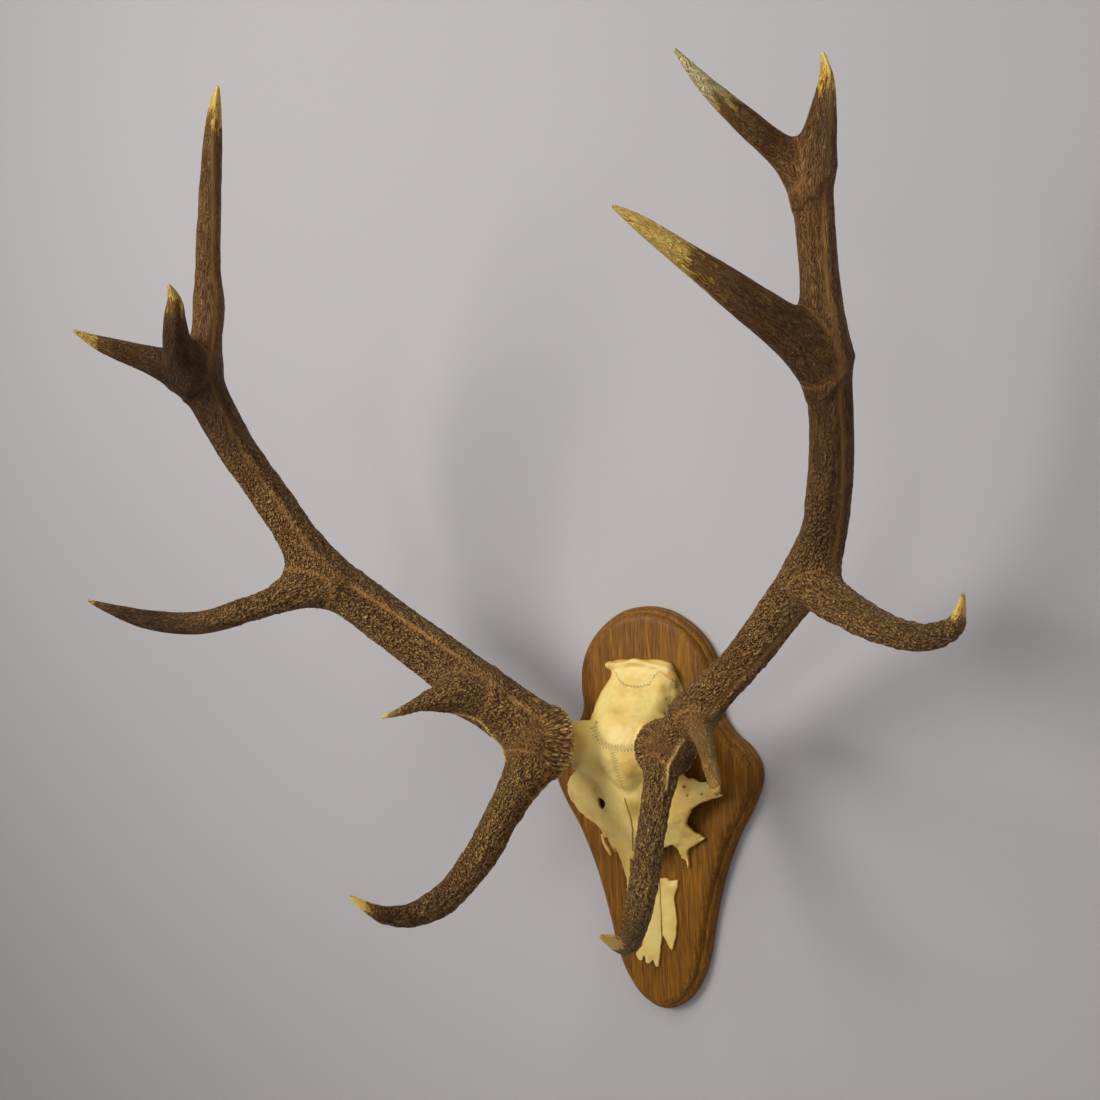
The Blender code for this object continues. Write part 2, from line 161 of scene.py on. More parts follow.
def soft_noise(points: Array, seed: int) -> Array:
    """Blend the numbers of the eight cells round each point, with an eased share on each axis.

    Args:
        points: Places in units of the noise's own size.
        seed: Picks the pattern.

    Returns:
        Numbers from -1 to 1 that change smoothly over one unit.
    """
    cells = np.floor(points).astype(np.int64)
    share = points - cells
    share = share * share * (3.0 - 2.0 * share)
    total = np.zeros(len(points))
    for corner in np.ndindex(2, 2, 2):
        weight = np.prod(np.where(corner, share, 1.0 - share), axis=1)
        total += weight * lattice_value(cells + np.array(corner), seed)
    return total * 2.0 - 1.0


def pearl_noise(points: Array, seed: int) -> tuple[Array, Array]:
    """Find the nearest of the scattered centres, one in each cell of space, to each point.

    Args:
        points: Places in units of the centres' spacing.
        seed: Picks the pattern.

    Returns:
        The distance to the nearest centre, and a number from 0 to 1 that belongs to it.
    """
    cells = np.floor(points).astype(np.int64)
    nearest = np.full(len(points), 9.0)
    owner = np.zeros(len(points))
    for step in np.ndindex(3, 3, 3):
        cell = cells + np.array(step) - 1
        shift = np.stack([lattice_value(cell, seed + turn) for turn in range(3)], axis=1)
        distance = np.linalg.norm(points - cell - shift, axis=1)
        closer = distance < nearest
        nearest = np.where(closer, distance, nearest)
        owner = np.where(closer, lattice_value(cell, seed + 7), owner)
    return nearest, owner


def smooth_route(rows: Array, spacing: float, closed: bool = False) -> Array:
    """Read the smooth curve through rows of numbers, by the Catmull-Rom formula.

    Args:
        rows: One row for each point, with a place in the first three columns.
        spacing: About how far apart the points read from the curve are, in millimetres.
        closed: Whether the curve runs on from the last row to the first.

    Returns:
        Rows on the curve, from the first as given. An open curve ends with the last as given.
    """
    ends = (rows[-1:], rows[:2]) if closed else (rows[:1], rows[-1:])
    padded = np.vstack([ends[0], rows, ends[1]])
    stretches = []
    for before, start, end, after in zip(padded, padded[1:], padded[2:], padded[3:]):
        count = max(1, round(float(np.linalg.norm(end[:3] - start[:3])) / spacing))
        share = (np.arange(count) / count)[:, None]
        bend = 2 * before - 5 * start + 4 * end - after
        turn = 3 * start - before - 3 * end + after
        stretch = start + 0.5 * ((end - before) * share + bend * share**2 + turn * share**3)
        stretches.append(stretch)
    return np.vstack(stretches if closed else [*stretches, rows[-1:]])


def world(rows: Array) -> Array:
    """Turn (across, out, up) rows into world x, y and z, still in millimetres."""
    return rows[:, :3] * np.array((1.0, -1.0, 1.0))


def around(points: Array, middle: tuple[float, float, float], reach: float) -> Array:
    """Rise to 1 at a place given as (across, out, up), and fade out all round it."""
    return hill(np.linalg.norm(points - world(np.array([middle], float)), axis=1), reach)


def mesh_of(name: str, points: Array, faces: Array | list) -> Mesh:
    """Make a mesh from places in millimetres.

    Args:
        name: The mesh's name.
        points: One row of x, y and z for each vertex.
        faces: Vertex numbers of each face, anticlockwise seen from outside.

    Returns:
        The mesh, in metres.
    """
    mesh = bpy.data.meshes.new(name)
    mesh.from_pydata((points * MM).tolist(), [], [list(map(int, face)) for face in faces])
    mesh.update()
    return mesh


def ring_faces(count: int, width: int) -> list[list[int]]:
    """Number the faces between rings of vertices, and a cap at each end.

    Args:
        count: How many rings there are.
        width: How many vertices each ring has.

    Returns:
        Vertex numbers of each wall between two rings, then of the first and the last cap.
    """
    numbers = np.arange(count * width).reshape(count, width)
    after = np.roll(numbers, -1, axis=1)
    walls = np.stack([numbers[:-1], after[:-1], after[1:], numbers[1:]], axis=-1).reshape(-1, 4)
    return walls.tolist() + [numbers[0][::-1].tolist(), numbers[-1].tolist()]


def closed_solid(points: Array, faces: list) -> Solid:
    """Make a closed solid whose faces all point outwards.

    Args:
        points: One row of x, y and z in millimetres for each vertex. Loose ones are left out.
        faces: Vertex numbers of each face.

    Returns:
        The solid, in metres.
    """
    mesh = mesh_of("solid", points, faces)
    solid = bmesh.new()
    solid.from_mesh(mesh)
    bpy.data.meshes.remove(mesh)
    loose = [vertex for vertex in solid.verts if not vertex.link_faces]
    bmesh.ops.delete(solid, geom=loose, context="VERTS")
    bmesh.ops.recalc_face_normals(solid, faces=solid.faces)
    return solid


def read_points(mesh: Mesh) -> Array:
    """Places of a mesh's vertices in millimetres."""
    flat = np.empty(len(mesh.vertices) * 3, np.float32)
    mesh.vertices.foreach_get("co", flat)
    return flat.reshape(-1, 3).astype(float) / MM


def write_points(mesh: Mesh, points: Array) -> None:
    """Put places in millimetres back into a mesh."""
    mesh.vertices.foreach_set("co", (points * MM).astype(np.float32).ravel())
    mesh.update()


def read_normals(mesh: Mesh) -> Array:
    """Normals of a mesh's vertices."""
    flat = np.empty(len(mesh.vertices) * 3, np.float32)
    mesh.vertex_normals.foreach_get("vector", flat)
    return flat.reshape(-1, 3).astype(float)


def keep_value(mesh: Mesh, name: str, values: Array) -> None:
    """Keep one number, or one row of three, on each vertex for the materials.

    Args:
        mesh: The mesh that gets them.
        name: The attribute's name.
        values: As many numbers or rows as the mesh has vertices.
    """
    kind, key = ("FLOAT", "value") if values.ndim == 1 else ("FLOAT_VECTOR", "vector")
    attribute = mesh.attributes.new(name, kind, "POINT")
    attribute.data.foreach_set(key, values.astype(np.float32).ravel())


def add_piece(name: str, mesh: Mesh) -> Piece:
    """Put a mesh in the scene as an object at the origin."""
    piece = bpy.data.objects.new(name, mesh)
    bpy.context.scene.collection.objects.link(piece)
    return piece


def applied(piece: Piece) -> Mesh:
    """Turn what an object shows into a mesh, and remove the object.

    Args:
        piece: An object with live modifiers.

    Returns:
        Its finished mesh.
    """
    graph = bpy.context.evaluated_depsgraph_get()
    mesh = bpy.data.meshes.new_from_object(piece.evaluated_get(graph), depsgraph=graph)
    old = piece.data
    bpy.data.objects.remove(piece)
    bpy.data.meshes.remove(old)
    return mesh


def fused(name: str, solids: list[Solid], voxel: float, rounds: int) -> Mesh:
    """Melt closed solids that run into each other into one even skin.

    Args:
        name: The mesh's name.
        solids: Closed solids, freed here.
        voxel: How far apart the skin's vertices are, in millimetres.
        rounds: How many rounds of smoothing the skin gets.

    Returns:
        One closed mesh of even squares.
    """
    mesh = bpy.data.meshes.new(name)
    whole = bmesh.new()
    for solid in solids:
        part = bpy.data.meshes.new("part")
        solid.to_mesh(part)
        solid.free()
        whole.from_mesh(part)
        bpy.data.meshes.remove(part)
    whole.to_mesh(mesh)
    whole.free()
    piece = add_piece(name, mesh)
    skin = piece.modifiers.new("Skin", "REMESH")
    skin.mode = "VOXEL"
    skin.voxel_size = voxel * MM
    skin.use_smooth_shade = True
    if rounds:
        soften = piece.modifiers.new("Soften", "SMOOTH")
        soften.factor = 0.5
        soften.iterations = rounds
    return applied(piece)


def nearest_line(points: Array, line: Array) -> tuple[Array, Array]:
    """Measure each point from a line of straight stretches.

    Args:
        points: Flat places as (across, up).
        line: The line's corners as (across, up).

    Returns:
        The distance from the line, positive on its left, and how far along it, in millimetres.
    """
    best = np.full(len(points), 1e9)
    signed = np.full(len(points), 1e9)
    along = np.zeros(len(points))
    passed = 0.0
    for start, end in zip(line, line[1:]):
        run = end - start
        length = float(np.hypot(*run))
        rel = points - start
        share = np.clip(rel @ run / length**2, 0.0, 1.0)
        distance = np.linalg.norm(rel - share[:, None] * run, axis=1)
        side = np.sign(run[0] * rel[:, 1] - run[1] * rel[:, 0])
        closer = distance < best
        best = np.where(closer, distance, best)
        signed = np.where(closer, distance * side, signed)
        along = np.where(closer, passed + share * length, along)
        passed += length
    return signed, along


def inside(points: Array, outline: Array) -> Array:
    """Tell which flat places lie inside a closed outline, by counting the sides they see to the right.

    Args:
        points: Flat places as (across, up).
        outline: The outline's corners in order.

    Returns:
        True for each place that lies inside.
    """
    hits = np.zeros(len(points), int)
    for start, end in zip(outline, np.roll(outline, -1, axis=0)):
        spans = (start[1] > points[:, 1]) != (end[1] > points[:, 1])
        rise = end[1] - start[1] if end[1] != start[1] else 1.0
        crossing = start[0] + (points[:, 1] - start[1]) * (end[0] - start[0]) / rise
        hits += spans & (points[:, 0] < crossing)
    return hits % 2 == 1


def closed_rows(outline: Array, spacing: float) -> Array:
    """Read points at an even spacing along a closed outline of straight sides.

    Args:
        outline: The outline's corners.
        spacing: The distance between points, in millimetres.

    Returns:
        Points along the outline, without the first one again at the end.
    """
    ring = np.vstack([outline, outline[:1]])
    run = np.concatenate([[0.0], np.cumsum(np.linalg.norm(np.diff(ring, axis=0), axis=1))])
    count = max(3, round(run[-1] / spacing))
    marks = np.arange(count) * run[-1] / count
    return np.stack([np.interp(marks, run, ring[:, axis]) for axis in range(2)], axis=1)


def flat_noise(flat: Array, seed: int) -> Array:
    """Soft noise over flat places, in units of its own size."""
    return soft_noise(np.column_stack([flat, flat[:, 0] * 0]), seed)


def spotted(flat: Array, spots: Table, edge: float = 2.0) -> Array:
    """Draw round spots that fall off as the exponential of minus distance over reach, raised to a power.

    Args:
        flat: Places as (across, up).
        spots: Each spot's across, up, reach and, where it isn't 1, strength.
        edge: The power, which says how sharply a spot ends.

    Returns:
        The strongest spot's value at each place.
    """
    strongest = np.zeros(len(flat))
    for across, up, reach, *strength in spots:
        gap = np.hypot(flat[:, 0] - across, flat[:, 1] - up) / reach
        strongest = np.maximum(strongest, (strength or [1.0])[0] * np.exp(-(gap**edge)))
    return strongest


def within(points: Array, outline: Array, holes: list[Array]) -> Array:
    """Tell which flat places lie inside an outline and in none of its holes.

    Args:
        points: Flat places as (across, up).
        outline: The closed outline.
        holes: Closed outlines of holes.

    Returns:
        True for each place that lies on material.
    """
    filled = inside(points, outline)
    for hole in holes:
        filled &= ~inside(points, hole)
    return filled


def flat_triangles(outline: Array, holes: list[Array], grid: float) -> tuple[Array, Array]:
    """Fill a flat outline, less its holes, with triangles between evenly spread points.

    Args:
        outline: The closed outline as (across, up).
        holes: Closed outlines of holes.
        grid: Spacing of the points inside.

    Returns:
        The points as (across, up), and the vertex numbers of each triangle.
    """
    low = outline.min(0)
    high = outline.max(0)
    across, up = np.meshgrid(np.arange(low[0], high[0], grid), np.arange(low[1], high[1], grid))
    inner = np.stack([across.ravel(), up.ravel()], axis=1)
    keep = within(inner, outline, holes)
    edges = []
    first = 0
    for loop in (outline, *holes):
        gap, _ = nearest_line(inner, np.vstack([loop, loop[:1]]))
        keep &= np.abs(gap) > grid * 0.5
        numbers = np.arange(first, first + len(loop))
        edges += np.stack([numbers, np.roll(numbers, -1)], axis=1).tolist()
        first += len(loop)
    corners = [Vector(corner) for corner in np.vstack([outline, *holes, inner[keep]])]
    flat = delaunay_2d_cdt(corners, edges, [], 0, 1e-6)
    places = np.array([tuple(corner) for corner in flat[0]])
    faces = np.array(flat[2])
    return places, faces[within(places[faces].mean(1), outline, holes)]


def slab(
    outline: Array, holes: list[Array], grid: float, surface: Callable[[Array], tuple[Array, Array]]
) -> Solid:
    """Fill a flat outline with triangles and give it a front and a back surface.

    Args:
        outline: The closed outline as (across, up).
        holes: Closed outlines of holes.
        grid: Spacing of the points inside.
        surface: A function of flat places that gives the front's and the back's distance out.

    Returns:
        A closed solid in metres.
    """
    places, faces = flat_triangles(outline, holes, grid)
    count = len(places)
    both = [np.stack([places[:, 0], -out, places[:, 1]], axis=1) for out in surface(places)]
    sides = np.concatenate([faces[:, [0, 1]], faces[:, [1, 2]], faces[:, [2, 0]]]).tolist()
    known = set(map(tuple, sides))
    border = [(start, end) for start, end in sides if (end, start) not in known]
    walls = [(start, start + count, end + count, end) for start, end in border]
    front_and_back = faces.tolist() + (faces[:, ::-1] + count).tolist()
    return closed_solid(np.concatenate(both), front_and_back + walls)


def add_node(
    tree: Tree,
    kind: str,
    inputs: dict[str | int, object] | None = None,
    result: str | int = 0,
    stops: tuple[tuple[float, str], ...] = (),
    **settings: object,
) -> Socket:
    """Add a node with its settings, its values and its links.

    Args:
        tree: The material's node tree.
        kind: The node's type without "ShaderNode".
        inputs: A value or another node's output for each named or numbered input.
        result: The output that is handed back.
        stops: Places and hex colours of a colour ramp.
        **settings: The node's own properties.

    Returns:
        That output of the new node.
    """
    node = tree.nodes.new("ShaderNode" + kind)
    for name, value in settings.items():
        setattr(node, name, value)
    for name, value in (inputs or {}).items():
        if isinstance(value, Socket):
            tree.links.new(value, node.inputs[name])
        else:
            node.inputs[name].default_value = value
    for index, (position, colour) in enumerate(stops):
        elements = node.color_ramp.elements
        element = elements[index] if index < 2 else elements.new(position)
        element.position = position
        element.color = linear(colour)
    return node.outputs[result]


def new_material(name: str) -> tuple[Material, Tree, Node]:
    """Start a material.

    Args:
        name: The real finish's name.

    Returns:
        The material, its node tree and its shader.
    """
    material = bpy.data.materials.new(name)
    material.use_nodes = True
    tree = material.node_tree
    return material, tree, tree.nodes["Principled BSDF"]


def set_shader(shader: Node, values: dict[str, object]) -> None:
    """Set constants on the shader's own sockets.

    Args:
        shader: The shader node.
        values: Constants, by the name of their socket.
    """
    for socket, value in values.items():
        shader.inputs[socket].default_value = value


def layered(
    tree: Tree, colour: Socket, layers: tuple[tuple[Socket, float, float, float, str], ...]
) -> Socket:
    """Lay colours over a colour one after another, each where its own mask rises.

    Args:
        tree: The material's node tree.
        colour: The lowest colour.
        layers: For each colour its mask, the mask's values that give none and all of it, how much
            of it there is at most, and the hex colour.

    Returns:
        The colour with all layers on it.
    """
    for mask, none, full, most, upper in layers:
        reach = {0: mask, 1: none, 2: full, 3: 0.0, 4: most}
        share = add_node(tree, "MapRange", reach, interpolation_type="SMOOTHSTEP")
        parts = {0: share, 6: colour, 7: linear(upper)}
        colour = add_node(tree, "Mix", parts, data_type="RGBA", result=2)
    return colour


@dataclass(frozen=True)
class PearledAntler:
    """Hard stag's antler as it was shed of its skin: dry and dull, dark where blood and bark dried into it.

    The tops of its pearls and its points are rubbed pale and shine more than the grooves, and the grooves
    between the pearls are darkened with painted shade as well as dried dirt.
    """

    groove_dirt_and_shade: str = "#54361a"
    bark: str = "#996a36"
    worn: str = "#b48846"
    bright: str = "#d4ad60"
    red_stain: str = "#834c1e"
    olive_top_light: str = "#6f5c26"
    dark_bark_and_shade: str = "#311a08"
    ochre: str = "#b58b40"
    vein: str = "#a1743c"
    rim: str = "#e6c27a"
    point_root: str = "#3a2a12"
    point: str = "#e2a736"
    point_end: str = "#f6cd6c"
    weathered: str = "#ecdca6"
    pearl: tuple[float, float, float] = (2.3, 2.3, 3.4)
    wrinkle: tuple[float, float, float] = (1.7, 1.7, 5.8)
    streak: tuple[float, float, float] = (1.15, 1.15, 13.0)
    pearl_height: float = 9.5
    grain_size: float = 0.7
    stain_size: float = 45.0
    # How high the pattern counts where two limbs meet, and where the antler is rubbed smooth
    plain_height: float = 0.45
    rubbed_height: float = 0.6

    def place_on_limb(self, tree: Tree, shares: tuple[Socket, ...]) -> tuple[Socket, Socket]:
        """Pick the place beside and along the limb that rules, and fade out where two rule alike.

        Args:
            tree: The material's node tree.
            shares: How much the nearest tine and the foot rule, from 0 to 1.

        Returns:
            The place in millimetres, and how clear the pattern is there.
        """
        place, tine, foot = (
            add_node(tree, "Attribute", attribute_name=name, result="Vector")
            for name in ("beam_flow", "tine_flow", "foot_flow")
        )
        clear = None
        for share, flow in zip(shares, (tine, foot)):
            rules = add_node(tree, "Math", {0: share, 1: 0.5}, operation="GREATER_THAN")
            place = add_node(tree, "Mix", {0: rules, 4: place, 5: flow}, data_type="VECTOR", result=1)
            lead = add_node(tree, "Math", {0: share, 1: 0.5}, operation="SUBTRACT")
            lead = add_node(tree, "Math", {0: lead}, operation="ABSOLUTE")
            sure = add_node(tree, "MapRange", {0: lead, 1: 0.0, 2: 0.09, 3: 0.15, 4: 1.0})
            both = {0: sure, 1: clear or 1.0}
            clear = add_node(tree, "Math", both, operation="MULTIPLY")
        return place, clear

    def pearls(self, tree: Tree, place: Socket) -> tuple[Socket, Socket]:
        """Draw pearls and wrinkles along a limb, and long streaks for where it has no pearls.

        Pearls are rounded cells, wrinkles and streaks are noise, and all are drawn out lengthwise.

        Args:
            tree: The material's node tree.
            place: The place beside and along the limb, in millimetres.

        Returns:
            How high the pearls are, and how high the streaks, both from 0 to 1.
        """
        bend = add_node(tree, "TexNoise", {"Vector": place, "Scale": 0.13, "Detail": 1.0}, result="Color")
        bent = {0: bend, 1: (5.0, 5.0, 5.0), 2: place}
        wavy = add_node(tree, "VectorMath", bent, operation="MULTIPLY_ADD")
        cells = add_node(tree, "VectorMath", {0: wavy, 1: self.pearl}, operation="DIVIDE")
        bead = add_node(tree, "TexVoronoi", {"Vector": cells, "Scale": 1.0}, result="Distance")
        drawn = add_node(tree, "VectorMath", {0: wavy, 1: self.wrinkle}, operation="DIVIDE")
        worm = add_node(tree, "TexNoise", {"Vector": drawn, "Scale": 1.0, "Detail": 1.5})
        round_top = add_node(tree, "MapRange", {0: bead, 1: 0.72, 2: 0.2}, interpolation_type="SMOOTHSTEP")
        long_top = add_node(tree, "MapRange", {0: worm, 1: 0.38, 2: 0.62}, interpolation_type="SMOOTHSTEP")
        tops = {0: 0.4, 2: round_top, 3: long_top}
        long = add_node(tree, "VectorMath", {0: wavy, 1: self.streak}, operation="DIVIDE")
        streak = add_node(tree, "TexNoise", {"Vector": long, "Scale": 1.0, "Detail": 2.5})
        return add_node(tree, "Mix", tops), streak

    def pattern(self, tree: Tree, kept: dict[str, Socket]) -> tuple[Socket, Socket]:
        """Lay pearls and streaks over the limbs, and fray the root of each bare point along the streaks.

        Args:
            tree: The material's node tree.
            kept: What each vertex keeps, by name.

        Returns:
            How high the pattern is, and how far a place lies out on a bare point, both from 0 to 1.
        """
        limb_place, clear = self.place_on_limb(tree, (kept["tine_share"], kept["foot_share"]))
        pearl, streak = self.pearls(tree, limb_place)
        low_streak = add_node(tree, "MapRange", {0: streak, 1: 0.32, 2: 0.68, 3: 0.12, 4: 0.62})
        either = {0: kept["streaked"], 2: pearl, 3: low_streak}
        drawn = add_node(tree, "Mix", either)
        grown = {0: clear, 2: self.plain_height, 3: drawn}
        bead = add_node(tree, "Mix", grown)
        rubbed = {0: kept["smoothed"], 2: bead, 3: self.rubbed_height}
        soft = add_node(tree, "Mix", rubbed)
        start = add_node(tree, "MapRange", {0: streak, 1: 0.3, 2: 0.7, 3: 0.55, 4: 0.0})
        end = add_node(tree, "Math", {0: start, 1: 0.4})
        return soft, add_node(tree, "MapRange", {0: kept["tip"], 1: start, 2: end})

    def stained(
        self, tree: Tree, kept: dict[str, Socket], bare: Socket, stains: Socket, tip: Socket
    ) -> Socket:
        """Lay stains, worn places and pale points over the bare colour, one after the other.

        Args:
            tree: The material's node tree.
            kept: What each vertex keeps, by name.
            bare: The colour of clean antler.
            stains: Broad clouds, from 0 to 1.
            tip: How far a place lies out on a bare point, from 0 to 1.

        Returns:
            The colour on top.
        """
        layers = (
            (stains, 0.5, 0.72, 0.4, self.red_stain),
            # Painted light: an olive tint on faces that point up, where light from above falls
            (kept["upward_light"], 0.3, 1.0, 0.3, self.olive_top_light),
            # Dark bark tone, together with the painted shade of the recesses
            (kept["tone"], 0.0, 1.0, 0.8, self.dark_bark_and_shade),
            (kept["tone"], 0.0, -1.0, 0.85, self.ochre),
            (kept["vein"], 3.8, 1.4, 0.65, self.vein),
            (kept["rim"], 0.0, 1.0, 1.0, self.rim),
            (tip, 0.05, 0.4, 0.55, self.point_root),
            (tip, 0.3, 0.65, 0.95, self.point),
            (tip, 0.8, 1.0, 0.85, self.point_end),
            (kept["whitish"], 0.0, 1.0, 1.0, self.weathered),
        )
        return layered(tree, bare, layers)

    def make(self) -> Material:
        """Build the material from what each vertex keeps.

        Returns:
            The finished material.
        """
        material, tree, shader = new_material("pearled_stag_antler")
        kept = {
            name: add_node(tree, "Attribute", attribute_name=name, result="Fac")
            for name in (
                "relief", "tone", "tip", "vein", "rim", "upward_light", "whitish", "smoothed", "streaked",
                "tine_share", "foot_share",
            )
        }
        place = add_node(tree, "TexCoord", result="Object")
        stains, grain = (
            add_node(tree, "TexNoise", {"Vector": place, "Scale": 1 / (size * MM), "Detail": detail})
            for size, detail in ((self.stain_size, 3.0), (self.grain_size, 2.0))
        )
        soft, tip = self.pattern(tree, kept)
        half = add_node(tree, "Math", {0: soft, 1: 0.75}, operation="MULTIPLY")
        raised = {0: kept["relief"], 1: 0.3, 2: half}
        tops = add_node(tree, "Math", raised, operation="MULTIPLY_ADD")
        # The low end of the ramp is dried dirt plus painted shade in the grooves between pearls
        stops = ((0.2, self.groove_dirt_and_shade), (0.95, self.bright), (0.42, self.bark), (0.68, self.worn))
        bare = add_node(tree, "ValToRGB", {0: tops}, stops=stops)
        tree.links.new(self.stained(tree, kept, bare, stains, tip), shader.inputs["Base Color"])
        rough = add_node(tree, "MapRange", {0: tops, 1: 0.0, 2: 1.0, 3: 0.78, 4: 0.42})
        polish = add_node(tree, "Mix", {0: tip, 2: rough, 3: 0.36})
        tree.links.new(polish, shader.inputs["Roughness"])
        fine = {"Height": grain, "Strength": 0.7, "Distance": 0.5 * MM}
        bump = add_node(tree, "Bump", fine)
        rounded = {"Height": soft, "Distance": self.pearl_height * MM, "Strength": 1.0, "Normal": bump}
        tree.links.new(add_node(tree, "Bump", rounded), shader.inputs["Normal"])
        set_shader(shader, {"IOR": 1.54, "Specular IOR Level": 0.25})
        return material


@dataclass(frozen=True)
class BoiledBone:
    """Skull bone boiled and bleached, then yellowed by age: a dull cream with fine grey seams and pores."""

    cream: str = "#e4c976"
    yellow: str = "#d6a53c"
    olive: str = "#99842a"
    tan: str = "#c88f45"
    seam: str = "#5f5a3e"
    speck: str = "#5b3915"

    def sewn(self, tree: Tree, seam: str, tooth: float, swing: float, stray: float) -> Socket:
        """Measure from a grown seam that runs to and fro across its own line like stitches.

        Args:
            tree: The material's node tree.
            seam: The attribute with the signed distance from the line and the length along it.
            tooth: Length of half a stitch along the line, in millimetres.
            swing: How wide the stitches are.
            stray: How much noise moves them.

        Returns:
            The distance from the stitches, measured across the line.
        """
        rows = add_node(tree, "Attribute", attribute_name=seam, result="Vector")
        loose = add_node(tree, "TexNoise", {"Vector": rows, "Scale": 0.35, "Detail": 2.0}, result="Color")
        moved = {0: loose, 1: (2.0 * stray, 2.0 * stray, 0.0), 2: rows}
        moved = add_node(tree, "VectorMath", moved, operation="MULTIPLY_ADD")
        across, along = add_node(tree, "SeparateXYZ", {0: moved}).node.outputs[:2]
        stitch = add_node(tree, "Math", {0: along, 1: tooth}, operation="PINGPONG")
        slope = {0: stitch, 1: -swing / tooth, 2: across}
        gap = add_node(tree, "Math", slope, operation="MULTIPLY_ADD")
        middle = {0: gap, 1: stray - swing / 2.0}
        centred = add_node(tree, "Math", middle, operation="SUBTRACT")
        return add_node(tree, "Math", {0: centred}, operation="ABSOLUTE")

    def stained(self, tree: Tree, clouds: Socket, pores: Socket, pits: Socket) -> Socket:
        """Lay yellowing, painted shade, stains, seams and pores over the cream bone, one after the other.

        Args:
            tree: The material's node tree.
            clouds: Broad noise.
            pores: Fine noise.
            pits: Noise of the size of pits.

        Returns:
            The colour on top.
        """
        kept = {
            name: add_node(tree, "Attribute", attribute_name=name, result="Fac")
            for name in ("nose_seam", "stain", "tan", "shade", "pitted")
        }
        thin = self.sewn(tree, "fine_seam", 1.8, 1.8, 0.8)
        scribble = self.sewn(tree, "wild_seam", 1.5, 6.4, 1.4)
        speckled = add_node(tree, "Math", {0: pits, 1: kept["stain"]}, operation="MULTIPLY")
        bare = add_node(tree, "RGB")
        bare.default_value = linear(self.cream)
        layers = (
            (clouds, 0.4, 0.68, 0.6, self.yellow),
            # Painted shade: yellower on the low face and where faces turn away from the front
            (kept["shade"], 0.0, 1.0, 1.0, self.yellow),
            # Olive stains, partly painted shade at the right temple and down the nose
            (kept["stain"], 0.0, 1.0, 0.75, self.olive),
            (speckled, 0.5, 0.56, 0.7, self.speck),
            (kept["tan"], 0.0, 1.0, 0.5, self.tan),
            (thin, 0.75, 0.2, 0.75, self.seam),
            (scribble, 1.7, 0.5, 0.7, self.seam),
            (kept["nose_seam"], 1.7, 0.3, 0.85, self.speck),
            (pores, 0.67, 0.75, 0.35, self.seam),
            (kept["pitted"], 0.0, 1.0, 0.9, self.speck),
        )
        return layered(tree, bare, layers)

    def make(self) -> Material:
        """Build the material from what each vertex keeps: its distances from seams, and its stains.

        Returns:
            The finished material.
        """
        material, tree, shader = new_material("aged_boiled_bone")
        place = add_node(tree, "TexCoord", result="Object")
        clouds, pores, pits, lumps = (
            add_node(tree, "TexNoise", {"Vector": place, "Scale": scale, "Detail": detail})
            for scale, detail in ((30.0, 4.0), (620.0, 3.0), (260.0, 2.0), (60.0, 1.5))
        )
        tree.links.new(self.stained(tree, clouds, pores, pits), shader.inputs["Base Color"])
        broad = {"Height": lumps, "Strength": 1.0, "Distance": 4.0 * MM}
        wavy = add_node(tree, "Bump", broad)
        fine = {"Height": pores, "Strength": 0.4, "Distance": 0.4 * MM, "Normal": wavy}
        tree.links.new(add_node(tree, "Bump", fine), shader.inputs["Normal"])
        bone = {
            "Roughness": 0.48,
            "IOR": 1.53,
            "Subsurface Weight": 0.1,
            "Subsurface Radius": (0.003, 0.002, 0.001),
            "Subsurface Scale": 1.0,
        }
        set_shader(shader, bone)
        return material


